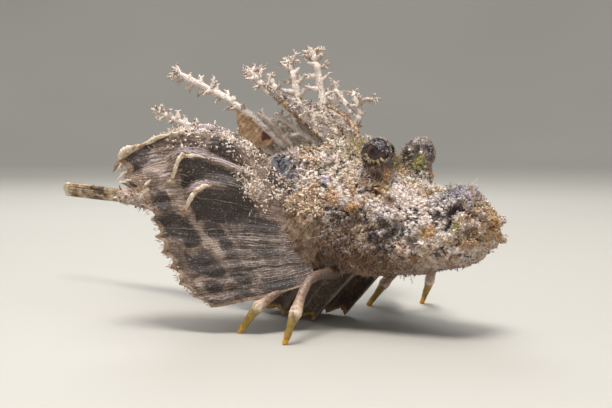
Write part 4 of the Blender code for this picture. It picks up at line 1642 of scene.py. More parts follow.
@dataclass(frozen=True)
class Blotch:
    """A dark or pale patch on a fin: its place and reach across the fan and along the rays."""

    across: float
    along: float
    wide: float
    long: float
    strength: float = 1.0


PECTORAL_DARK = (
    Blotch(0.40, 0.89, 0.055, 0.06),
    Blotch(0.53, 0.86, 0.075, 0.11),
    Blotch(0.60, 0.79, 0.06, 0.09),
    Blotch(0.75, 0.76, 0.07, 0.13),
    Blotch(0.80, 0.70, 0.05, 0.09, 0.9),
    Blotch(0.88, 0.80, 0.05, 0.09, 0.8),
    Blotch(0.56, 0.60, 0.06, 0.08, 0.85),
    Blotch(0.64, 0.56, 0.05, 0.06, 0.75),
    Blotch(0.70, 0.88, 0.04, 0.05, 0.6),
    Blotch(0.48, 0.50, 0.06, 0.16, 0.85),
    Blotch(0.50, 0.28, 0.07, 0.16, 0.8),
    Blotch(0.86, 0.55, 0.05, 0.09, 0.7),
    Blotch(0.95, 0.62, 0.05, 0.09, 0.6),
    Blotch(0.19, 0.97, 0.05, 0.05, 0.95),
    Blotch(0.16, 0.88, 0.035, 0.05, 0.9),
    Blotch(0.06, 0.80, 0.03, 0.07, 0.8),
    Blotch(0.14, 0.42, 0.045, 0.09, 0.9),
    Blotch(0.08, 0.52, 0.03, 0.06, 0.8),
    Blotch(0.23, 0.66, 0.025, 0.05, 0.8),
    Blotch(0.95, 0.30, 0.06, 0.16, 0.8),
    Blotch(0.70, 0.30, 0.05, 0.12, 0.6),
    Blotch(0.07, 0.06, 0.06, 0.09),
    Blotch(0.15, 0.1, 0.05, 0.05, 0.9),
)
PECTORAL_PALE = (
    Blotch(0.33, 0.82, 0.06, 0.07, 0.9),
    Blotch(0.43, 0.76, 0.06, 0.05, 0.9),
    Blotch(0.52, 0.71, 0.05, 0.04, 0.8),
    Blotch(0.62, 0.68, 0.05, 0.05),
    Blotch(0.67, 0.62, 0.035, 0.035),
    Blotch(0.57, 0.52, 0.03, 0.03, 0.6),
    Blotch(0.85, 0.88, 0.05, 0.05, 0.6),
    Blotch(0.23, 0.82, 0.045, 0.09, 0.9),
)
PECTORAL_SILK = (
    Blotch(0.2, 0.86, 0.05, 0.09),
    Blotch(0.17, 0.6, 0.025, 0.1, 0.8),
    Blotch(0.05, 0.9, 0.04, 0.07, 0.9),
    Blotch(0.06, 0.6, 0.04, 0.12, 0.8),
    Blotch(0.07, 0.33, 0.05, 0.1, 0.9),
    Blotch(0.29, 0.8, 0.03, 0.05, 0.8),
)


def blotched(across: Array, along: Array, blotches: Sequence[Blotch]) -> Array:
    """Reads how strongly a set of blotches covers places on a fin.

    Args:
        across: How far across the fin each place lies.
        along: How far along the rays.
        blotches: The blotches.

    Returns:
        The strongest one's cover at each place.
    """
    total = np.zeros(across.shape)
    for mark in blotches:
        gap = ((across - mark.across) / mark.wide) ** 2 + ((along - mark.along) / mark.long) ** 2
        total = np.maximum(total, mark.strength * np.exp(-(gap**1.5)))
    return total


def on_both(**values: Array) -> dict[str, Array]:
    """Values named on a grid as values for both faces of its sheet."""
    return {name: np.tile(value.ravel(), 2) for name, value in values.items()}


@dataclass(frozen=True)
class FinFinish:
    """Fin membrane in tan and charcoal, with fine pale striae along the rays."""

    name: str
    ground: Colour = TAN
    shadow: Colour = BROWN
    dark: Colour = CHARCOAL
    pale: Colour = ROSE
    edge: Colour = ROSE
    stria: Colour = CREAM

    def material(self) -> Material:
        """Makes the material.

        Returns:
            The membrane, its blotches, striae and pale edge, and the painted shade and light that the dark,
            tread and stria values carry on the pectoral fan and its root.
        """
        graph = Graph(self.name)
        ragged, torn = graph.ragged(1.5, 6.0, 0.75, 1.3), graph.ragged(0.55, 4.0, 0.8, 1.1)
        line, half = graph.value("stria"), graph.times(ragged, 0.5)
        stops = ((0.1, CHARCOAL), (0.4, paint(92, 80, 72)), (0.62, paint(144, 134, 132)),
                 (0.95, paint(196, 186, 176)))
        graph.colour = graph.ramp(graph.plus(graph.plus(line, ragged), torn), *stops)
        graph.lay(self.pale, graph.noise(2.6, 5.0, 0.75), 0.5, 0.62, 0.6)
        graph.lay(self.shadow, graph.noise(3.1, 5.0, 0.75), 0.48, 0.38, 0.6)
        streaky = graph.colour
        stops = ((0.36, self.shadow), (0.5, self.ground), (0.66, self.pale))
        graph.colour = graph.ramp(graph.noise(3.6, 7.0, 0.75), *stops)
        graph.lay(streaky, graph.plus(graph.value("grey"), ragged), 0.25, 0.7, 0.75)
        # Pale silk for the fin's silky patches, also laid as painted light along the pectoral shelves' treads.
        silk_and_tread_light = graph.ramp(graph.plus(line, torn), (0.1, paint(96, 88, 104)), (0.45, paint(176, 164, 176)),
                          (0.8, paint(222, 210, 214)))
        graph.lay(silk_and_tread_light, graph.plus(graph.value("tread"), ragged), 0.4, 0.9, 0.75)
        # On the pectoral fan the dark value also carries painted shade on the shelves' risers.
        for name, tint in (("pale", self.pale), ("dark", self.dark)):
            graph.lay(tint, graph.plus(graph.value(name), ragged), 0.3, 0.62, 0.9)
        # On the pectoral root the stria value is the fold height, so these two layers paint light on the fold
        # crests and shade in the troughs.
        strength = graph.plus(0.12, graph.times(graph.value("dark"), 0.45))
        graph.lay(self.stria, graph.plus(line, half), 0.55, 1.0, strength)
        graph.lay(UMBER, graph.math("SUBTRACT", line, half), 0.3, 0.0, 0.55)
        graph.lay(self.edge, graph.plus(graph.value("edge"), ragged), 0.4, 0.9, 0.8)
        speck = graph.noise(0.5, 4.0, 0.8)
        graph.lay(CREAM, speck, 0.56, 0.66, 0.4)
        graph.lay(UMBER, speck, 0.46, 0.38, 0.45)
        graph.bumps(graph.plus(graph.noise(0.5, 4.0, 0.7), graph.times(line, 0.6)), 0.7, 0.25)
        return graph.finish(0.45, 0.35, 1.3, Subsurface_Weight=0.05, Subsurface_Scale=0.002)


@dataclass(frozen=True)
class Fold:
    """One of the shelves in the upper part of the fan: where its crest runs and how deep it steps."""

    along: tuple[float, ...]
    across: tuple[float, ...]
    depth: float
    foot: float
    start: float
    end: float
    outer: float

    def crest(self, along: Array) -> Array:
        """How far across the fan the crest lies at each place along the rays."""
        return curve_through(self.along, self.across, along)

    def height(self, across: Array, along: Array) -> Array:
        """Reads how far the shelf stands out.

        Args:
            across: How far across the fan each place lies.
            along: How far along the rays.

        Returns:
            Its height there, from zero to its depth.
        """
        crest = self.crest(along)
        tread = rise(across, crest - 0.075, crest - 0.004)
        riser = 1.0 - np.clip((across - crest) / self.foot, 0.0, 1.0) ** 0.8
        riser = riser * rise(across, crest + self.foot, crest + self.foot * 0.6)
        shape = np.where(across < crest, tread, riser)
        beyond = 1.0 - (1.0 - self.outer) * rise(along, self.end - 0.06, self.end + 0.05)
        return self.depth * shape * (rise(along, self.start, self.start + 0.3) * beyond)


FOLDS = (
    Fold((0.2, 0.45, 0.7, 0.85, 1.0), (0.10, 0.115, 0.115, 0.13, 0.16), 3.4, 0.10, 0.15, 0.97, 0.8),
    Fold((0.2, 0.45, 0.6, 0.68, 0.76), (0.25, 0.245, 0.225, 0.235, 0.30), 4.6, 0.10, 0.15, 0.74, 0.25),
    Fold((0.2, 0.48, 0.58, 0.66, 0.74), (0.34, 0.345, 0.35, 0.375, 0.44), 4.6, 0.13, 0.15, 0.72, 0.25),
)


@dataclass
class PectoralFin(SubAssembly):
    """The great winged fin: folded shelves above, a blotched fan below and a wrinkled fleshy root."""

    side: Side
    tips: tuple[Point, ...] = (
        (-57.5, 41.0, 51.0), (-56.0, 53.5, 45.0), (-51.0, 52.0, 38.8), (-48.3, 49.5, 30.5),
        (-45.5, 47.5, 22.0), (-41.5, 45.0, 13.5), (-34.5, 40.0, 7.2))
    arch: tuple[float, ...] = (8.5, 6.5, 3.5, 1.5, 0.5, 0.0, -1.0)
    top: Point = (-26.0, 17.5, 40.5)
    bottom: Point = (-13.5, 19.3, 14.0)
    rays: int = 13
    striae: int = 6
    columns: int = 321
    steps: int = 101
    bow: float = 3.0
    notch: float = 0.05
    lobe_centre: Point = (-21.4, 18.2, 25.8)
    lobe_size: Point = (7.6, 3.9, 12.4)
    lobe_tilt: float = 20.0
    top_dip: float = 3.0
    frill_spans: tuple[tuple[float, float], ...] = ((0.55, 0.985), (0.52, 0.76), (0.53, 0.74))
    ray_spots: tuple[tuple[float, float], ...] = (
        (0.0, 0.97), (0.05, 0.99), (0.1, 1.0), (0.15, 0.99), (0.22, 0.97), (0.29, 0.86), (0.31, 0.76),
        (0.44, 0.73), (0.27, 0.7), (0.34, 0.93), (0.03, 0.8), (0.13, 0.75))
    tabs: int = 700

    def build(self) -> None:
        """Makes the fan, its curled crests, its root and the growths on them."""
        word = self.side.word
        if self.side is Side.LEFT:
            self.columns, self.steps = 261, 81
        fan, fan_home = self.fan()
        finish = FinFinish(f"pectoral_{word}", ground=paint(120, 100, 86), shadow=paint(76, 62, 56),
                           pale=paint(180, 160, 148), edge=paint(170, 144, 120), stria=paint(190, 178, 164))
        self.keep(fan, f"pectoral_fan_{word}", finish.material(), Slot.FIN, f"pectoral_fin_{word}")
        frill = CrustFinish(f"frill_{word}", BROWN, TAN, CREAM, CREAM).material()
        self.keep(self.frills(), f"pectoral_frill_{word}", frill, Slot.FIN)
        lobe, lobe_home = self.lobe()
        finish = FinFinish(f"pectoral_root_{word}", ground=paint(132, 106, 86), shadow=paint(70, 54, 44),
                           pale=paint(176, 150, 124), stria=paint(196, 172, 146))
        self.keep(lobe, f"pectoral_root_{word}", finish.material(), Slot.FIN)
        Crust(Surface.of(fan, fan_home), self.fan_growths(200 + self.side.value), Slot.FIN).build()
        Crust(Surface.of(lobe, lobe_home), self.lobe_growths(300 + self.side.value), Slot.FIN).build()

    def fan_growths(self, seed: int) -> tuple[Growth, ...]:
        """Lists the growths that stand on the fan.

        Args:
            seed: The first of their seeds.

        Returns:
            Crust and flaps near the root, grains on the lower part.
        """
        word = self.side.word
        pale = CrustFinish(f"fan_crust_{word}", paint(126, 100, 82), paint(194, 170, 146),
                           paint(222, 208, 196), CHALK)
        dull = CrustFinish(f"fan_grain_{word}", CHARCOAL, UMBER, BROWN, ROSE)
        return (
            Growth(f"fan_crust_{word}", Lie.GRAIN, 1050, NO_LENGTH, (0.16, 0.5), self.near_root, pale, seed),
            Growth(f"fan_flaps_{word}", Lie.FLAP, 1050, (0.5, 1.6), (0.18, 0.44), self.near_root, pale,
                   seed + 10),
            Growth(f"fan_grains_{word}", Lie.SPECK, 900, NO_LENGTH, (0.08, 0.17), self.on_lower, dull,
                   seed + 20),
        )

    def lobe_growths(self, seed: int) -> tuple[Growth, ...]:
        """Lists the growths that stand on the fleshy root.

        Args:
            seed: The first of their seeds.

        Returns:
            Threads all over it, crust and flaps high up.
        """
        word = self.side.word
        thread = CrustFinish(f"root_thread_{word}", UMBER, BROWN, TAN, SAND)
        pale = CrustFinish(f"root_crust_{word}", BROWN, SAND, CREAM, CHALK)
        return (
            Growth(f"root_threads_{word}", Lie.THREAD, 1000, (1.6, 4.2), (0.05, 0.12), everywhere, thread,
                   seed, lean=0.4, droop=0.7, stand=0.15, untidy=0.3),
            Growth(f"root_crust_{word}", Lie.GRAIN, 700, NO_LENGTH, (0.16, 0.5), self.high_up, pale,
                   seed + 10),
            Growth(f"root_flaps_{word}", Lie.FLAP, 500, (0.5, 1.6), (0.16, 0.42), self.high_up, pale,
                   seed + 20),
        )

    def near_root(self, roots: Roots) -> Array:
        """Spreads the pale clumps where the fan's upper rays leave the body, and some along its upper edge.

        Args:
            roots: Where they might grow.

        Returns:
            How thick they grow there.
        """
        across, along = roots.home.T
        high = bump(across, 0.28, 0.07) * bump(along, 0.27, 0.06)
        high = high + 0.5 * bump(across, 0.05, 0.06) * rise(along, 0.95, 0.6)
        high = high + bump(across, 0.22, 0.06) * bump(along, 0.05, 0.08)
        return high * self.outer_face(roots) * tufted(roots)

    def on_lower(self, roots: Roots) -> Array:
        """The frayed and grainy lower part of the fan."""
        across, along = roots.home.T
        return (0.08 + rise(across, 0.7, 1.0) * rise(along, 0.1, 0.5)) * self.outer_face(roots)

    def outer_face(self, roots: Roots) -> Array:
        """One on the face of the fan that looks away from the body."""
        return rise(roots.normals[:, 1] * self.side.value + 0.4 * roots.normals[:, 0], -0.2, 0.2)

    def high_up(self, roots: Roots) -> Array:
        """The upper end of the root, where the body's crust runs on to it."""
        return rise(roots.z, 30.0, 35.0) * tufted(roots)

    def mirrored(self, points: Array) -> Array:
        """Points of the fan on this fin's own side."""
        return np.asarray(points, float) * (1.0, self.side.value, 1.0)

    def surface(self, across: Array, along: Array) -> Array:
        """The fan's middle surface.

        Args:
            across: From zero at the top ray to one at the lowest.
            along: From zero at the root to one at the tips.

        Returns:
            Points in millimetres.
        """
        places = np.linspace(0.0, 1.0, len(self.tips))
        drop = np.array(self.bottom) - self.top
        start = self.mirrored(np.array(self.top) + drop * across[..., None])
        end = self.mirrored(curve_through(places, self.tips, across))
        low, high = np.clip(across - 0.02, 0, 1), np.clip(across + 0.02, 0, 1)
        root_step = self.mirrored(drop * (high - low)[..., None])
        tip_step = curve_through(places, self.tips, high) - curve_through(places, self.tips, low)
        out = unit(np.cross(end - start, root_step + self.mirrored(tip_step))) * -self.side.value
        lift = self.bow * np.sin(math.pi * along) + sum(fold.height(across, along) for fold in FOLDS)
        upward = curve_through(places, self.arch, across) * 4 * along * (1 - along)
        if self.side is Side.LEFT:
            upward = upward - self.top_dip * rise(across, 0.35, 0.0) * np.sin(math.pi * along)
        points = start + (end - start) * along[..., None] + out * lift[..., None]
        points[..., 2] += upward
        return points

    def fan(self) -> tuple[Form, Array]:
        """Makes the fan as one fine closed sheet with rays, striae and creases.

        Returns:
            The form, and where each of its points lies across the fan and along the rays.
        """
        places = np.linspace(0.0, 1.0, self.columns)
        dense = np.cumsum(1.0 + 1.6 * bump(places, 0.28, 0.2))
        dense = (dense - dense[0]) / (dense[-1] - dense[0])
        lines = np.interp(places, dense, places)
        across, along = np.meshgrid(lines, np.linspace(0.0, 1.0, self.steps), indexing="ij")
        phase = across * (self.rays - 1)
        webbed = np.abs(np.sin(math.pi * phase))
        probe = joined(across * 60.0, along * 40.0, 0.0)
        frayed = 0.03 * rough_noise(probe, 1.3, 3, 21) + 0.02 * rough_noise(probe, 5.0, 2, 22)
        length = 1.0 - self.notch * webbed**0.8 + np.minimum(frayed, 0.0)
        reach = along * np.where(along > 0.5, 1.0 + (length - 1.0) * rise(along, 0.5, 1.0), 1.0)
        grid = self.surface(across, reach)
        drawn = probe * (1.0, 0.3, 1.0)
        wave = 0.4 * np.cos(TURN * phase) * np.sqrt(along)
        crease = 0.7 * rough_noise(drawn, 2.2, 4, 5) * rise(along, 0.05, 0.5)
        ruffle = 1.4 * rough_noise(drawn, 5.0, 2, 8) * rise(along, 0.7, 1.0)
        grid = grid + grid_facing(grid) * (wave + crease + ruffle)[..., None]
        number = phase * self.striae + 1.5 * rough_noise(probe, 4.5, 3, 12)
        cells = joined(np.floor(number), 0.0, 0.0).astype(np.int64)
        stria = (0.35 + 0.65 * scattered(cells, 5)) * (0.5 - 0.5 * np.cos(TURN * number))
        stria *= 0.5 + 0.5 * rise(rough_noise(probe, 2.6, 3, 14), -0.35, 0.2)
        thickness = 0.4 + 0.45 * (1.0 - webbed) ** 2 * (1.0 - 0.5 * along) + 0.2 * stria
        thickness *= 1.0 - 0.35 * rise(along, 0.9, 1.0)
        form = Form()
        form.add(*sheet(grid, thickness), **on_both(**self.markings(across, along), stria=stria))
        return form, np.tile(joined(across, along).reshape(-1, 2), (2, 1))

    def markings(self, across: Array, along: Array) -> dict[str, Array]:
        """Where the fan is dark, pale, grey or silky, with painted shade on the shelves' risers and painted
        light along their treads.

        Args:
            across: How far across the fan each point lies.
            along: How far along the rays.

        Returns:
            The named strengths.
        """
        dark, tread = blotched(across, along, PECTORAL_DARK), np.zeros_like(across)
        for fold in FOLDS:
            crest = fold.crest(along)
            inner = rise(along, 0.24, 0.36) * rise(along, fold.end + 0.02, fold.end - 0.05)
            riser = rise(across, crest, crest + 0.015)
            riser = riser * rise(across, crest + fold.foot * 1.05, crest + fold.foot * 0.8)
            # Painted shade: the risers under the second and third crests are darkened like the blotches.
            if fold is not FOLDS[0]:
                dark = np.maximum(dark, 0.95 * riser * inner)
            # Painted light: a pale band along each tread, just above its crest.
            tread = np.maximum(tread, bump(across, crest - 0.035, 0.03) * inner)
        # Painted light on the uppermost tread, above the first crest; the silk blotches added next are the
        # fin's own pale patches.
        tread = np.maximum(tread, 0.9 * rise(across, 0.13, 0.09) * rise(along, 0.25, 0.45))
        tread = np.maximum(tread, blotched(across, along, PECTORAL_SILK))
        grey = rise(along, 0.66, 0.5) * rise(across, 0.46, 0.6) + 0.6 * rise(across, 0.75, 0.9)
        edge = np.maximum(rise(along, 0.94, 0.985), 0.8 * rise(across, 0.965, 0.99))
        return {"dark": dark, "pale": blotched(across, along, PECTORAL_PALE), "tread": tread * (1.0 - dark),
                "edge": edge, "grey": np.clip(grey, 0, 1)}

    def frills(self) -> Form:
        """Makes the curled lips of the shelves, the free ends of the upper rays and the torn outer edge.

        Returns:
            The gathered form.
        """
        form = Form()
        draw = np.random.default_rng(90 + self.side.value)
        up, share = self.mirrored(np.array((0.15, 0.45, 0.9))), shares(9)
        curl = share * math.pi * 0.75
        for number, (fold, (start, end)) in enumerate(zip(FOLDS, self.frill_spans)):
            along = np.linspace(start, end, 160)
            wobble = joined(along * 60.0, number, 0.0)
            across = fold.crest(along) + 0.004 * rough_noise(wobble, 2.0, 2, 31)
            foot = self.surface(across, along)
            out = unit(foot - self.surface(across - 0.04, along))
            side = unit(np.gradient(foot, axis=0))
            width = (1.0 + 0.9 * rise(along, end - 0.2, end - 0.05)) * rise(along, start, start + 0.08)
            width *= 1.0 + 0.7 * rough_noise(wobble, 2.0, 3, 33)
            lift = out[:, None] * np.sin(curl) + up * (1.0 - np.cos(curl)) * 0.5
            ruffle = rough_noise(wobble, 1.2, 2, 35)[:, None, None] * 0.5 * share
            grid = foot[:, None] + lift * width[:, None, None] + side[:, None] * ruffle - out[:, None] * 0.4
            points, faces = sheet(grid, 0.55 - 0.2 * share[..., 0] * np.ones((len(along), 1)))
            form.add(points, faces, shade=mottled(points, 0.62, 0.35, 1.2, 4), along=0.5)
        self.ray_ends(form, draw)
        self.fringe(form, draw)
        return form

    def ray_ends(self, form: Form, draw: Draw) -> None:
        """Adds the fleshy tips of the upper rays, which stand clear of the membrane.

        Args:
            form: The mesh that is being gathered.
            draw: The seeded source of chance.
        """
        count, share = len(self.ray_spots), shares(9)
        across, along = np.array(self.ray_spots).T
        root = self.surface(across, along)
        way = unit(root - self.surface(across, along - 0.06) + 0.5 * draw.normal(size=root.shape))
        long = draw.uniform(2.4, 3.8, (count, 1, 1))
        sag = np.array((0.0, 0.0, -0.6)) * long * share**2
        lines = root[:, None] - way[:, None] * 0.8 + way[:, None] * long * share + sag
        profile = np.array((1.0, 1.1, 1.0, 0.95, 0.9, 0.85, 0.7, 0.5, 0.25))
        radii = draw.uniform(0.5, 0.75, (count, 1)) * profile
        points, faces = rods(lines, radii, 9)
        points = points + (0.18 * rough_noise(points, 0.8, 2, 9))[..., None]
        form.add(points, faces, shade=draw.uniform(0.25, 0.7, count), along=0.5)

    def fringe(self, form: Form, draw: Draw) -> None:
        """Adds ragged tabs on the fan's outer edge and on the upper shelves.

        Args:
            form: The mesh that is being gathered.
            draw: The seeded source of chance.
        """
        count = self.tabs
        across = draw.uniform(0.0, 1.0, count) ** 1.3
        outer = draw.uniform(size=count) < 0.55
        along = np.where(outer, draw.uniform(0.92, 0.98, count), draw.uniform(0.35, 0.9, count))
        across = np.where(outer, across, draw.uniform(0.0, 0.34, count))
        root = self.surface(across, along)
        tangent = unit(root - self.surface(across, along - 0.03))
        out = unit(root - self.surface(across - 0.03, along))
        length = draw.uniform(0.4, 1.3, count) * np.where(outer, 1.0, 0.7)
        way = unit(tangent + 0.5 * out * draw.normal(size=(count, 1)) + 0.4 * draw.normal(size=(count, 3)))
        lines = root[:, None] + way[:, None] * length[:, None, None] * shares(4)
        radii = draw.uniform(0.1, 0.28, (count, 1)) * np.array((0.8, 1.0, 0.8, 0.35))
        form.add(*rods(lines, radii, 4, 0.45, out), shade=draw.uniform(0.2, 0.9, count), along=0.5)

    def lobe(self) -> tuple[Form, Array]:
        """Makes the fleshy root, wrinkled in fine upright folds.

        Returns:
            The form, and where each of its points lies round the root and down it.
        """
        rows, columns, tilt = 110, 84, math.radians(self.lobe_tilt)
        polar, turn = np.meshgrid(np.linspace(0.02, math.pi - 0.02, rows),
                                  np.linspace(0.0, TURN, columns + 1)[:-1], indexing="ij")
        shape = joined(np.sin(polar) * np.cos(turn), np.sin(polar) * np.sin(turn), np.cos(polar))
        x, y, z = np.moveaxis(shape * self.lobe_size, -1, 0)
        turned = joined(x * math.cos(tilt) + z * math.sin(tilt), y, z * math.cos(tilt) - x * math.sin(tilt))
        probe = shape * 12.0
        folds = (1.0 - np.abs(rough_noise(probe * (1.0, 1.0, 0.25), 0.9, 3, 31))) ** 2
        grow = 1.2 * (folds - 0.5) + 1.3 * rough_noise(probe, 5.0, 3, 33)
        points = self.mirrored(turned + np.array(self.lobe_centre) + shape * grow[..., None])
        here = np.arange(columns)
        after, last, size = np.roll(here, -1), (rows - 1) * columns, rows * columns
        faces = [np.roll(strips(rows, columns)[:, ::-1], 1, axis=1), joined(here, after, size),
                 joined(after + last, here + last, size + 1)]
        if self.side is Side.RIGHT:
            faces = [group[:, ::-1] for group in faces]
        # The fold height goes in as the stria value, so the finish paints the fold crests pale and the troughs
        # dark: painted light and painted shade.
        form, stria = Form(), np.concatenate([folds.ravel(), (0.0, 0.0)])
        form.add(np.concatenate([points.reshape(-1, 3), points[(0, -1), :].mean(axis=1)]), faces, stria=stria,
                 dark=0.0, pale=0.0, tread=0.0, edge=0.0, grey=0.0)
        home = joined(turn / TURN, polar / math.pi).reshape(-1, 2)
        return form, np.concatenate([home, ((0.5, 0.0), (0.5, 1.0))])


@dataclass
class RayedFin(SubAssembly):
    """A small fin of rays and membrane between a root line and a tip line."""

    name: str
    nodes: tuple[str, ...]
    root: Callable[[Array], Array]
    tip: Callable[[Array], Array]
    rays: int
    notch: float
    wave: float
    thick: float = 0.9
    thin: float = 0.4
    finish: FinFinish = FinFinish("small_fin")
    dark: tuple[Blotch, ...] = ()
    columns: int = 91
    steps: int = 29

    def build(self) -> None:
        """Makes the fin as one closed sheet."""
        across, along = net(self.columns, self.steps)
        phase = across * (self.rays - 1)
        webbed = np.abs(np.sin(math.pi * phase))
        ridge = (1.0 - webbed) ** 1.5
        probe = joined(across * 30.0, along * 12.0, float(len(self.name)))
        frayed = 0.05 * np.minimum(rough_noise(probe, 1.2, 3, 2), 0.0)
        reach = along * (1.0 + (frayed - self.notch * webbed) * rise(along, 0.4, 1.0))
        start, end = self.root(across), self.tip(across)
        grid = start + (end - start) * reach[..., None]
        out = self.wave * (np.cos(TURN * phase) + rough_noise(probe, 3.0, 2, 6)) * np.sqrt(along)
        grid = grid + grid_facing(grid) * out[..., None]
        thickness = self.thin + (self.thick - self.thin) * ridge * (1.0 - 0.5 * along)
        stria, none = np.clip(ridge + 0.3 * np.cos(TURN * phase * 4), 0.0, 1.0), 0 * across
        values = on_both(dark=blotched(across, along, self.dark), pale=none, tread=none,
                         edge=rise(along, 0.85, 0.97), grey=none, stria=stria)
        form = Form()
        form.add(*sheet(grid, thickness), **values)
        self.keep(form, self.name, self.finish.material(), Slot.FIN, *self.nodes)


STATIONS = (
    (-120.0, 35.6, 30.0), (-104.0, 35.9, 28.3), (-88.0, 38.3, 24.6), (-70.0, 42.3, 21.0), (-52.0, 47.0, 17.4),
    (-35.0, 50.8, 14.6), (-16.0, 52.5, 14.0), (-6.0, 50.5, 14.6), (4.0, 43.0, 15.5))


def body_edge(x: Array, low: bool = False) -> Array:
    """The height of the back, or of the belly, along the fish."""
    places, *edges = zip(*STATIONS)
    return curve_through(places, edges[1 if low else 0], x)


def soft_root(t: Array) -> Array:
    """Root of the soft dorsal fin."""
    x = -86.5 - 22.0 * t
    return joined(x, 0.0, body_edge(x) - 1.5)


def soft_tip(t: Array) -> Array:
    """Tips of the soft dorsal fin."""
    return soft_root(t) + joined(-8.0 - 2.0 * t, 0.0, 8.0 - 4.5 * t)


def anal_root(t: Array) -> Array:
    """Root of the anal fin."""
    x = -54.0 - 38.0 * t
    return joined(x, 0.0, body_edge(x, low=True) + 1.5)


def anal_tip(t: Array) -> Array:
    """Tips of the anal fin."""
    return anal_root(t) + joined(-8.0, 0.0, -6.0 + 2.5 * t)


def tail_root(t: Array) -> Array:
    """Root of the tail fin."""
    return joined(-116.0, 0.0, 34.8 - 4.0 * t)


def tail_tip(t: Array) -> Array:
    """Tips of the folded tail fin."""
    return joined(-149.5 + 1.5 * np.abs(2 * t - 1), 0.0, 36.3 - 4.4 * t)


def small_fins() -> list[RayedFin]:
    """The soft dorsal, anal, tail and pelvic fins.

    Returns:
        The fins, ready to build.
    """
    tail = FinFinish("tail_fin", ground=SAND, shadow=paint(140, 108, 80), pale=CHALK, edge=CREAM, dark=UMBER)
    small = FinFinish("small_fin", ground=paint(146, 118, 98), shadow=paint(92, 70, 56),
                      pale=paint(190, 166, 146), edge=CREAM)
    spots = (Blotch(0.12, 0.7, 0.07, 0.2, 0.8), Blotch(0.35, 0.45, 0.09, 0.2, 0.8),
             Blotch(0.6, 0.75, 0.08, 0.18, 0.8), Blotch(0.85, 0.5, 0.07, 0.25, 0.8),
             Blotch(0.75, 0.15, 0.1, 0.12, 0.6), Blotch(0.2, 0.15, 0.1, 0.12, 0.6))
    bands = (Blotch(0.3, 0.36, 0.45, 0.11, 0.75), Blotch(0.15, 0.5, 0.35, 0.05, 0.7),
             Blotch(0.6, 0.27, 0.3, 0.04, 0.65), Blotch(0.95, 0.45, 0.3, 0.2, 0.6),
             Blotch(0.5, 0.64, 0.3, 0.04, 0.6), Blotch(1.0, 0.8, 0.25, 0.15, 0.6))
    return [
        RayedFin("dorsal_soft", ("dorsal_fin_soft",), soft_root, soft_tip, 8, 0.12, 0.3, finish=small,
                 dark=spots[:4]),
        RayedFin("anal", ("anal_fin",), anal_root, anal_tip, 9, 0.12, 0.3, finish=small, dark=spots),
        RayedFin("tail_fan", ("caudal_fin",), tail_root, tail_tip, 10, 0.03, 0.55, 1.1, 0.6, tail, bands),
        *(pelvic_fin(side) for side in Side),
    ]


def pelvic_fin(side: Side) -> RayedFin:
    """One pelvic fin, which stands on the floor.

    Args:
        side: Which side of the fish.

    Returns:
        The fin, ready to build.
    """
    def root(t: Array) -> Array:
        """Root of the fin along the belly."""
        return joined(-8.0 - 40.0 * t, side.value * (7.0 - 2.5 * t), 17.0 + 2.5 * t)

    def tip(t: Array) -> Array:
        """Tips of the rays, the front ones flat on the floor."""
        height = 0.25 + 11.0 * np.maximum(0.0, t - 0.4) ** 1.3
        return joined(-24.5 - 32.0 * t, side.value * (7.5 - 2.5 * t), height)

    finish = FinFinish(f"pelvic_{side.word}", ground=paint(78, 60, 48), shadow=paint(48, 38, 34),
                       pale=paint(120, 98, 74), edge=paint(168, 128, 60))
    node = f"pelvic_fin_{side.word}"
    return RayedFin(f"pelvic_fan_{side.word}", (node,), root, tip, 6, 0.08, 0.5, 1.3, 0.5, finish)


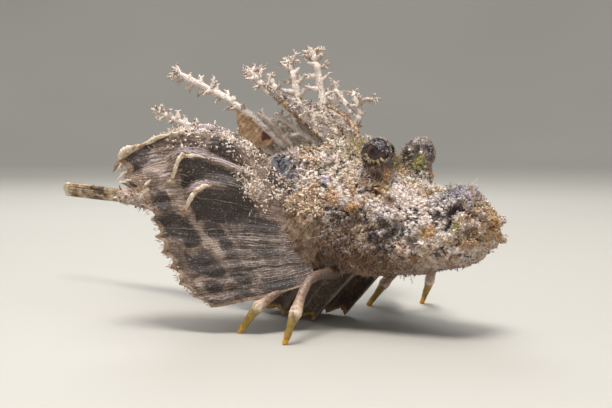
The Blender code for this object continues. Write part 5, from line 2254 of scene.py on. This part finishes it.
@dataclass
class FreeRay(SubAssembly):
    """One of the walking rays: flesh above the knob, clear amber below, flat where it stands."""

    side: Side
    place: str
    points: tuple[Point, ...]
    step: Point
    radii: tuple[float, ...] = (2.1, 1.75, 1.6, 1.5, 1.45, 1.4, 1.45, 1.55, 1.9, 1.45, 1.25, 1.1, 0.95)
    shin: float = 0.75
    sides: int = 28
    colours: tuple[tuple[float, Colour], ...] = (
        (0.0, paint(76, 60, 50)), (0.3, paint(104, 84, 72)), (0.5, paint(136, 110, 94)),
        (0.62, paint(178, 150, 128)), (0.67, CREAM), (0.72, paint(166, 138, 96)), (0.78, paint(156, 130, 52)),
        (0.88, paint(150, 124, 40)), (0.95, paint(214, 160, 40)))

    def build(self) -> None:
        """Makes the ray as one tapered, ringed rod cut flat by the floor."""
        knots = np.array(self.points, float)
        if self.side is Side.LEFT:
            knots[2] += np.array(self.step) * self.shin
            knots[3] += self.step
        knots[:, 1] *= self.side.value
        line = rounded_line(knots, 40)
        share = np.linspace(0.0, 1.0, len(line))
        radius = curve_through(np.linspace(0, 1, len(self.radii)), self.radii, share)
        radius = radius * (1.0 + 0.02 * np.sin(share * 150.0)) - 0.22
        points, faces = rods(line[None], radius[None], self.sides)
        points = points.reshape(-1, 3)
        lumps = 0.14 * rough_noise(points, 0.9, 3, 4) + 0.2 * rough_noise(points, 2.4, 2, 5)
        centre = np.concatenate([np.repeat(line, self.sides, axis=0), line[:1], line[-1:]])
        points = points + unit(points - centre) * lumps[:, None]
        points[:, 2] = np.maximum(points[:, 2], 0.0)
        form = Form()
        form.add(points, faces, along=rod_shares(1, len(line), self.sides))
        name = f"walking_ray_{self.place}_{self.side.word}"
        self.keep(form, name, self.finish(name), Slot.RAY, f"free_ray_{self.place}_{self.side.word}")

    def finish(self, name: str) -> Material:
        """Makes the ray's material.

        Args:
            name: The material's name.

        Returns:
            Pinkish flesh, a whitish knob, clear amber and an orange foot.
        """
        graph = Graph(name)
        along = graph.plus(graph.value("along"), graph.ragged(2.0, 4.0, 0.6, 0.1))
        graph.colour = graph.ramp(along, *self.colours)
        graph.lay(paint(84, 60, 36), graph.noise(1.1, 4.0, 0.7), 0.5, 0.6, 0.55)
        graph.lay(CREAM, graph.noise(0.5, 3.0, 0.8), 0.57, 0.66, 0.4)
        graph.bumps(graph.noise(0.45, 4.0, 0.7), 0.5, 0.2)
        return graph.finish(0.28, 0.35, 1.2, Subsurface_Weight=0.3, Subsurface_Scale=0.0015)


FREE_RAYS = (
    ("front", ((-12.5, 13.0, 16.0), (-8.2, 28.5, 16.0), (-6.6, 36.5, 8.4), (-8.5, 38.5, 0.1)),
     (-11.5, 3.0, 0.0)),
    ("rear", ((-18.5, 12.0, 15.0), (-19.5, 26.0, 12.5), (-23.0, 32.3, 7.8), (-29.0, 34.0, 0.1)),
     (-1.5, -7.0, 0.0)),
)


ACROSS_VIEW = (0.64, -0.76, 0.0)


@dataclass(frozen=True)
class Tassel:
    """A fleshy filament with blunt side branches and a star of them at its end."""

    points: tuple[Point, ...]
    branches: int
    thick: float = 1.0
    reach: tuple[float, float] = (2.8, 4.8)
    first: float = 0.15
    star: int = 5

    def grow(self, form: Form, draw: Draw) -> None:
        """Adds the filament, its branches, their twigs and the star at its end.

        Args:
            form: The mesh that is being gathered.
            draw: The seeded source of chance.
        """
        line = rounded_line(self.points, 10)
        share = np.linspace(0.0, 1.0, len(line))
        line = line + 0.3 * jostle(line, 4.0, 2, 0) * share[:, None]
        radius = self.thick * (1.0 - 0.3 * share) * (1.0 + 0.16 * np.sin(share * 23.0))
        self.flesh(form, line[None], radius[None], 10, draw)
        arms, widths = [], []
        for k in range(self.branches):
            place = self.first + (0.95 - self.first) * k / max(self.branches - 1, 1)
            arms.append(self.arm(line, place, math.pi * (k % 2) + draw.uniform(-0.9, 0.9), draw))
            widths.append(self.thick * draw.uniform(0.55, 0.85))
        ahead = unit(line[-1] - line[-4])
        side = unit(np.cross(ahead, ACROSS_VIEW))
        for k in range(self.star):
            turn = math.pi * (k + 0.5) / self.star - math.pi / 2 + draw.uniform(-0.2, 0.2)
            out = ahead * math.cos(turn) + side * math.sin(turn) + 0.3 * draw.normal(size=3)
            arms.append(line[-1] + unit(out) * np.linspace(-0.6, draw.uniform(*self.reach) * 0.75, 6)[:, None])
            widths.append(self.thick * draw.uniform(0.55, 0.75))
        arms = np.array(arms)
        radii = np.array(widths)[:, None] * np.array((1.0, 1.05, 0.9, 0.75, 0.5, 0.2))
        self.flesh(form, arms, radii, 7, draw)
        self.flesh(form, *twig_lines(arms, radii * 0.85, 3, draw), 5, draw)

    def flesh(self, form: Form, lines: Array, radii: Array, sides: int, draw: Draw) -> None:
        """Adds lumpy rods, each with a shade of its own.

        Args:
            form: The mesh that is being gathered.
            lines: The rods' centre lines.
            radii: Their radii.
            sides: How many sides each has.
            draw: The seeded source of chance.
        """
        points, faces = rods(lines, radii, sides)
        points = points + 0.36 * jostle(points, 0.7, 3, 70)
        form.add(points, faces, shade=draw.uniform(0.4, 1.0, len(lines)), along=0.5)

    def arm(self, line: Array, place: float, turn: float, draw: Draw) -> Array:
        """One side branch as a gently bent line of six points.

        Args:
            line: The filament's own line.
            place: How far along it the branch leaves.
            turn: The branch's turn round the filament.
            draw: The seeded source of chance.

        Returns:
            The branch's points.
        """
        i = min(int(place * (len(line) - 1)), len(line) - 2)
        along = unit(line[i + 1] - line[i])
        side = unit(np.cross(along, ACROSS_VIEW))
        other = np.cross(along, side)
        lean = draw.uniform(0.0, 0.45)
        way = unit(side * math.cos(turn) + 0.7 * other * math.sin(turn) + along * lean)
        bend = unit(way + along * 0.25 + np.array((0.0, 0.0, 0.2)))
        share = shares(6)[0]
        return line[i] + (way * share + (bend - way) * share**2 * 0.6) * draw.uniform(*self.reach)


def side_patch(points: Array) -> Array:
    """Where places on the spines and tassels lie on their unwrap: along the fish, and up it."""
    return joined((points[:, 0] + 160.0) / 200.0, points[:, 2] / 100.0)


@dataclass
class DorsalSpines(SubAssembly):
    """The tall ragged front of the dorsal fin and the row of venomous spines behind it."""

    front: tuple[tuple[Point, ...], ...] = (
        ((-12.5, 0.0, 47.0), (-16.5, 0.0, 57.0), (-28.0, 0.0, 64.0)),
        ((-16.0, 0.0, 48.0), (-21.5, 0.0, 57.0), (-35.5, -2.0, 64.5)),
        ((-20.0, 0.0, 48.0), (-35.5, -4.0, 61.0), (-45.5, -7.5, 69.5)),
    )
    front_tassels: tuple[Tassel, ...] = (
        Tassel(((-27.0, 0.0, 61.8), (-29.0, 0.0, 72.0), (-31.0, 0.0, 77.5)), 8, 1.25, (3.2, 5.4), star=6),
        Tassel(((-34.5, -2.0, 62.4), (-36.7, -2.0, 70.0), (-38.5, -2.0, 75.0)), 7, 1.2, (3.2, 5.2), star=6),
        Tassel(((-42.0, -6.5, 66.0), (-46.0, -7.8, 70.3), (-48.0, -8.0, 72.5)), 6, 1.05, (3.0, 4.8), star=6),
        Tassel(((-16.5, 0.5, 55.5), (-14.5, 1.0, 60.0), (-16.8, 1.0, 65.2)), 5, 0.95, (1.8, 3.4)),
        Tassel(((-15.6, 1.0, 61.5), (-12.8, 1.0, 63.8), (-9.0, 1.0, 63.8)), 4, 0.75, (1.4, 2.8), star=3),
        Tassel(((-17.0, 0.5, 60.0), (-19.8, 0.0, 64.2), (-22.0, 0.0, 67.0)), 4, 0.8, (1.4, 2.6), star=3),
        Tassel(((-38.0, -3.0, 62.0), (-42.5, -3.0, 67.0), (-45.0, -3.0, 71.0)), 5, 0.95, (1.8, 3.2), star=4),
        Tassel(((-24.0, 0.0, 60.5), (-24.0, 1.5, 64.5), (-23.5, 1.5, 68.5)), 4, 0.9, (1.6, 2.8), star=3),
    )
    rear_count: int = 13
    rear_start: float = -27.0
    rear_end: float = -80.0
    lift: Point = (-0.8, 0.0, 2.8)
    sail_spine: int = 3
    long_spines: dict[int, tuple[Point, int]] = field(
        default_factory=lambda: {3: ((-71.0, -16.0, 72.5), 14), 8: ((-86.5, -10.0, 61.2), 13)})

    def build(self) -> None:
        """Makes the membranes, spines and tassels of both lengths, and the crust on the membranes."""
        draw = np.random.default_rng(50)
        tassel = CrustFinish("tassel", paint(138, 108, 90), paint(180, 154, 140), paint(202, 188, 174),
                             paint(224, 210, 200))
        web = CrustFinish("spine_web", BROWN, paint(160, 148, 150), paint(204, 186, 166), CHALK)
        haze = CrustFinish("rear_web", paint(128, 112, 90), paint(178, 170, 156), paint(214, 206, 188))
        form = Form()
        for one in self.front_tassels:
            one.grow(form, draw)
        self.keep(form, "dorsal_front_tassels", tassel.material(), Slot.TASSEL, "dorsal_fin_front")
        self.bristle(form, "front_tassel_bristles", 1100, tassel, 411)
        front = self.front_web()
        self.keep(front, "dorsal_front_web", web.material(), Slot.TASSEL)
        self.keep(self.spines(), "dorsal_front_spines", self.spine_finish(), Slot.TASSEL)
        form = Form()
        self.rear(form, draw)
        self.keep(form, "dorsal_rear_tassels", tassel.material(), Slot.TASSEL, "dorsal_fin_spines")
        self.bristle(form, "rear_tassel_bristles", 1200, tassel, 421)
        rear = self.rear_web()
        self.keep(rear, "dorsal_rear_web", haze.material(), Slot.TASSEL)
        self.keep(self.sail(), "dorsal_sail", self.sail_finish(), Slot.TASSEL)
        for name, form, finish, seed in (("front", front, web, 401), ("rear", rear, haze, 402)):
            grains = Growth(f"{name}_web_grains", Lie.SPECK, 2700, NO_LENGTH, (0.15, 0.5), everywhere, finish,
                            seed)
            flaps = Growth(f"{name}_web_flaps", Lie.FLAP, 650, (0.5, 1.6), (0.14, 0.36), everywhere, finish,
                           seed + 10)
            self.cover(form, grains, flaps)

    def cover(self, form: Form, *growths: Growth) -> None:
        """Grows a coat on one of the pieces."""
        Crust(Surface.of(form, side_patch(np.concatenate(form.points))), growths, Slot.TASSEL).build()

    def bristle(self, form: Form, name: str, count: int, finish: CrustFinish, seed: int) -> None:
        """Covers the tassels with short blunt papillae."""
        self.cover(form, Growth(name, Lie.FLAP, count, (0.4, 1.1), (0.12, 0.26), everywhere, finish, seed,
                                stand=1.0, lean=0.2))

    def spines(self) -> Form:
        """Makes the front spines' brown shafts, half sunk in the membrane.

        Returns:
            The gathered form.
        """
        form, sides = Form(), 12
        for knots in self.front:
            line = rounded_line(knots, 16)
            share = np.linspace(0.0, 1.0, len(line))
            radius = (1.2 - 0.5 * share) * (1.0 + 0.1 * np.sin(share * 31.0))
            points, faces = rods(line[None], radius[None], sides)
            points = points + (0.2 * rough_noise(points, 1.1, 3, 71))[..., None]
            form.add(points, faces, shade=0.5, along=rod_shares(1, len(line), sides))
        return form

    def spine_finish(self) -> Material:
        """Makes the shafts' material.

        Returns:
            Brown that darkens toward the tips, with pale grains.
        """
        graph = Graph("front_spine")
        stops = ((0.35, UMBER), (0.5, BROWN), (0.64, paint(170, 122, 62)), (0.78, SAND))
        graph.colour = graph.ramp(graph.noise(2.2, 5.0, 0.7), *stops)
        graph.lay(UMBER, graph.value("along"), 0.55, 0.95, 0.6)
        graph.lay(CREAM, graph.noise(0.8, 4.0, 0.8), 0.5, 0.58, 0.75)
        graph.bumps(graph.noise(0.5, 4.0, 0.7), 0.7, 0.25)
        return graph.finish(0.5, 0.3, 1.0)

    def front_web(self) -> Form:
        """Makes the thick encrusted membrane that joins the first three spines.

        Returns:
            The gathered form.
        """
        first, second, third = (rounded_line(knots, 40) for knots in self.front)
        share = np.linspace(0.0, 1.0, 41)[:, None, None]
        form = Form()
        for near, far, sag in ((first, second, 0.06), (second, third, 0.16)):
            grid = near[None] + (far - near)[None] * share
            place = np.arange(grid.shape[1])[None] * (1.0 - sag * np.sin(math.pi * share[..., 0]))
            low = np.floor(place).astype(int)
            high, rows = np.minimum(low + 1, grid.shape[1] - 1), np.arange(len(grid))[:, None]
            part = (place - low)[..., None]
            grid = grid[rows, low] * (1 - part) + grid[rows, high] * part
            lumps = 0.9 * rough_noise(grid, 2.2, 3, 14)
            thickness = 1.7 + 0.6 * rough_noise(grid, 1.4, 2, 15)
            points, faces = sheet(grid + grid_facing(grid) * lumps[..., None], thickness)
            form.add(points, faces, shade=mottled(points, 0.55, 0.5, 1.8, 16), along=0.5)
        return form

    def rear_root(self, share: Array) -> Array:
        """The roots of the rear spines along the back."""
        x = self.rear_start + (self.rear_end - self.rear_start) * np.asarray(share, float)
        return joined(x, 0.0, body_edge(x) - 2.0)

    def rear(self, form: Form, draw: Draw) -> None:
        """Adds the row of rear spines, the two longest with heavy tassels.

        Args:
            form: The mesh that is being gathered.
            draw: The seeded source of chance.
        """
        for i in range(self.rear_count):
            share = i / (self.rear_count - 1)
            start = self.rear_root(share)
            if i in self.long_spines:
                end, branches = self.long_spines[i]
                start = start + self.lift
                middle = (start + end) / 2 + (0.0, 0.0, 2.0)
                Tassel((tuple(start), tuple(middle), end), branches, 1.3, (2.2, 4.6), 0.42, 5).grow(form, draw)
                continue
            lean = math.radians(draw.uniform(46.0, 56.0))
            tilt = math.radians(draw.uniform(8.0, 22.0)) * (1 if i % 2 else -1)
            way = np.array((-math.sin(lean), math.cos(lean) * math.sin(tilt), math.cos(lean) * math.cos(tilt)))
            end = start + way * (17.0 - 4.0 * share)
            middle = (start + end) / 2
            Tassel((tuple(start), tuple(middle), tuple(end)), 6, 1.1, (1.8, 3.6), 0.4, 4).grow(form, draw)

    def rear_web(self) -> Form:
        """Makes the low thick membrane at the foot of the rear spines.

        Returns:
            The form.
        """
        share, height = net(161, 21)
        peaks = 1.0 - 0.35 * np.abs(np.sin(math.pi * share * (self.rear_count - 1)))
        tall = rise(share, 0.55, 0.15)
        rising = joined(-3.5 - 2.5 * tall, 0.0, 6.5 + 5.0 * tall)
        grid = self.rear_root(share) + rising * (height * peaks)[..., None]
        grid[..., 1] += 0.9 * rough_noise(grid, 3.0, 3, 18) * height
        points, faces = sheet(grid, 1.6 - 0.7 * height)
        form = Form()
        form.add(points, faces, shade=mottled(points, 0.5, 0.5, 2.0, 19), along=0.5)
        return form

    def sail(self) -> Form:
        """Makes the tan three-cornered membrane behind the longest rear spine, with its dark red spot.

        Returns:
            The form.
        """
        start = self.rear_root(self.sail_spine / (self.rear_count - 1)) + self.lift
        end = np.array(self.long_spines[self.sail_spine][0])
        across, along = net(60, 80)
        share = 0.08 + 0.36 * along
        spine = start + (end - start) * share[..., None] + joined(0.0, 0.0, 8.0 * share * (1.0 - share) + 0.5)
        hang = np.array((-3.6, -1.5, -5.0))
        torn = 1.0 + 0.22 * rough_noise(joined(along * 24.0, 0.0, 0.0), 2.0, 3, 83)
        grid = spine + hang * (across * torn * np.sin(math.pi * (0.16 + 0.84 * along)) ** 0.6)[..., None]
        grid[..., 1] += 0.9 * rough_noise(grid, 2.4, 3, 81) - 0.6
        spot = np.exp(-((((across - 0.2) / 0.42) ** 2 + ((along - 0.16) / 0.12) ** 2) ** 1.5))
        form = Form()
        form.add(*sheet(grid, 0.9 - 0.3 * across), **on_both(spot=spot, along=along))
        return form

    def sail_finish(self) -> Material:
        """Makes the sail's material.

        Returns:
            Tan to orange-brown membrane with a dark red oval.
        """
        graph = Graph("dorsal_sail")
        graph.colour = graph.ramp(graph.noise(1.6, 6.0, 0.8), (0.36, paint(142, 110, 80)), (0.47, TAN),
                                  (0.56, paint(178, 146, 104)), (0.66, CREAM))
        place = graph.plus(graph.times(graph.value("along"), 70.0), graph.times(graph.noise(1.5), 6.0))
        graph.lay(BROWN, graph.math("SINE", place), 0.3, 1.0, 0.35)
        graph.lay(WINE, graph.plus(graph.value("spot"), graph.ragged(1.0, 5.0, 0.75, 1.3)), 0.3, 0.6, 0.95)
        graph.bumps(graph.noise(0.6, 4.0, 0.7), 0.6, 0.2)
        return graph.finish(0.5, 0.3, 1.0)


@dataclass(frozen=True)
class Lamp:
    """A soft studio light."""

    name: str
    place: Point
    aim: Point
    size: float
    power: float
    colour: Point

    def build(self) -> None:
        """Makes the light and turns it to its aim."""
        data = bpy.data.lights.new(self.name, "AREA")
        data.shape = "DISK"
        data.size = self.size
        data.energy = self.power
        data.color = self.colour
        lamp = bpy.data.objects.new(self.name, data)
        lamp.location = self.place
        lamp.rotation_euler = (Vector(self.aim) - Vector(self.place)).to_track_quat("-Z", "Y").to_euler()
        bpy.context.scene.collection.objects.link(lamp)


@dataclass
class Studio:
    """A pale floor, soft light and the camera at the photograph's angle."""

    camera_place: Point = (177.13, -251.17, 55.19)
    heading: float = 40.0
    pitch: float = 3.8
    lens: float = 65.0
    sensor: float = 36.0
    nearest: float = 0.01
    floor_flat: float = 1.4
    floor_curve: float = 0.9
    floor_colour: Colour = paint(170, 166, 158)
    floor_pale: Colour = paint(176, 172, 164)
    sky_colour: Colour = paint(226, 232, 236)
    sky_power: float = 0.32
    lamps: tuple[Lamp, ...] = (
        Lamp("key", (0.2, -0.22, 0.8), (0.03, 0.0, 0.03), 0.3, 6.5, (1.0, 0.98, 0.95)),
        Lamp("sky", (0.0, 0.0, 2.3), (0.0, 0.0, 0.0), 2.4, 42.0, (1.0, 0.99, 0.98)),
        Lamp("fill", (0.6, -0.8, 0.3), (0.03, 0.0, 0.03), 0.9, 1.8, (0.94, 0.97, 1.0)),
        Lamp("rim", (-0.45, 0.45, 0.55), (0.0, 0.0, 0.04), 0.45, 2.5, (0.95, 0.98, 1.0)),
    )

    def build(self) -> None:
        """Makes the floor, the light and the camera."""
        self.floor()
        for lamp in self.lamps:
            lamp.build()
        world = bpy.data.worlds.new("studio")
        world.use_nodes = True
        sky = world.node_tree.nodes["Background"]
        sky.inputs["Color"].default_value = self.sky_colour
        sky.inputs["Strength"].default_value = self.sky_power
        bpy.context.scene.world = world
        bpy.context.scene.view_settings.view_transform = "Standard"
        self.camera()
        LOG.info("studio built")

    def floor(self) -> None:
        """Makes a plain round floor that curves up far from the fish, so that no edge shows."""
        sides, rows = 128, 24
        turn, bend = TURN * np.arange(sides) / sides, np.linspace(0.0, math.pi / 2, rows)[:, None]
        reach = self.floor_flat + self.floor_curve * np.sin(bend)
        points = joined(np.cos(turn) * reach, np.sin(turn) * reach, self.floor_curve * (1.0 - np.cos(bend)))
        form = Form()
        form.add(points / MM - FISH.shift, [np.arange(sides)[None], strips(rows, sides)[:, ::-1]])
        graph = Graph("pale_floor")
        stops = ((0.3, self.floor_colour), (0.7, self.floor_pale))
        graph.colour = graph.ramp(graph.noise(400.0, 2.0, 0.4), *stops)
        graph.bumps(graph.noise(2.0), 0.03, 0.05)
        form.make("floor", graph.finish(0.75))

    def camera(self) -> None:
        """Makes the camera, level with the fish's back and ahead of its right side."""
        data = bpy.data.cameras.new("camera")
        data.lens = self.lens
        data.sensor_width = self.sensor
        data.clip_start = self.nearest
        heading, pitch = math.radians(self.heading), math.radians(self.pitch)
        level = math.cos(pitch)
        view = Vector((-math.sin(heading) * level, math.cos(heading) * level, -math.sin(pitch)))
        camera = bpy.data.objects.new("camera", data)
        camera.location = Vector(FISH.metres(np.array(self.camera_place)))
        camera.rotation_euler = view.to_track_quat("-Z", "Y").to_euler()
        bpy.context.scene.collection.objects.link(camera)
        bpy.context.scene.camera = camera


def main() -> None:
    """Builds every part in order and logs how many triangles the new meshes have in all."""
    logging.basicConfig(level=logging.INFO, format="%(name)s %(message)s")
    Studio().build()
    skin = Skin()
    skin.build()
    Crust(skin.surface, CRUST).build()
    for side in Side:
        Eye(side).build()
        PectoralFin(side).build()
        for place, points, step in FREE_RAYS:
            FreeRay(side, place, points, step).build()
    for fin in small_fins():
        fin.build()
    DorsalSpines().build()
    pieces = [item for item in bpy.data.objects if item.type == "MESH" and item.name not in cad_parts]
    LOG.info("%d triangles in all", sum(len(one.data.loops) - 2 * len(one.data.polygons) for one in pieces))


if __name__ == "__main__":
    main()
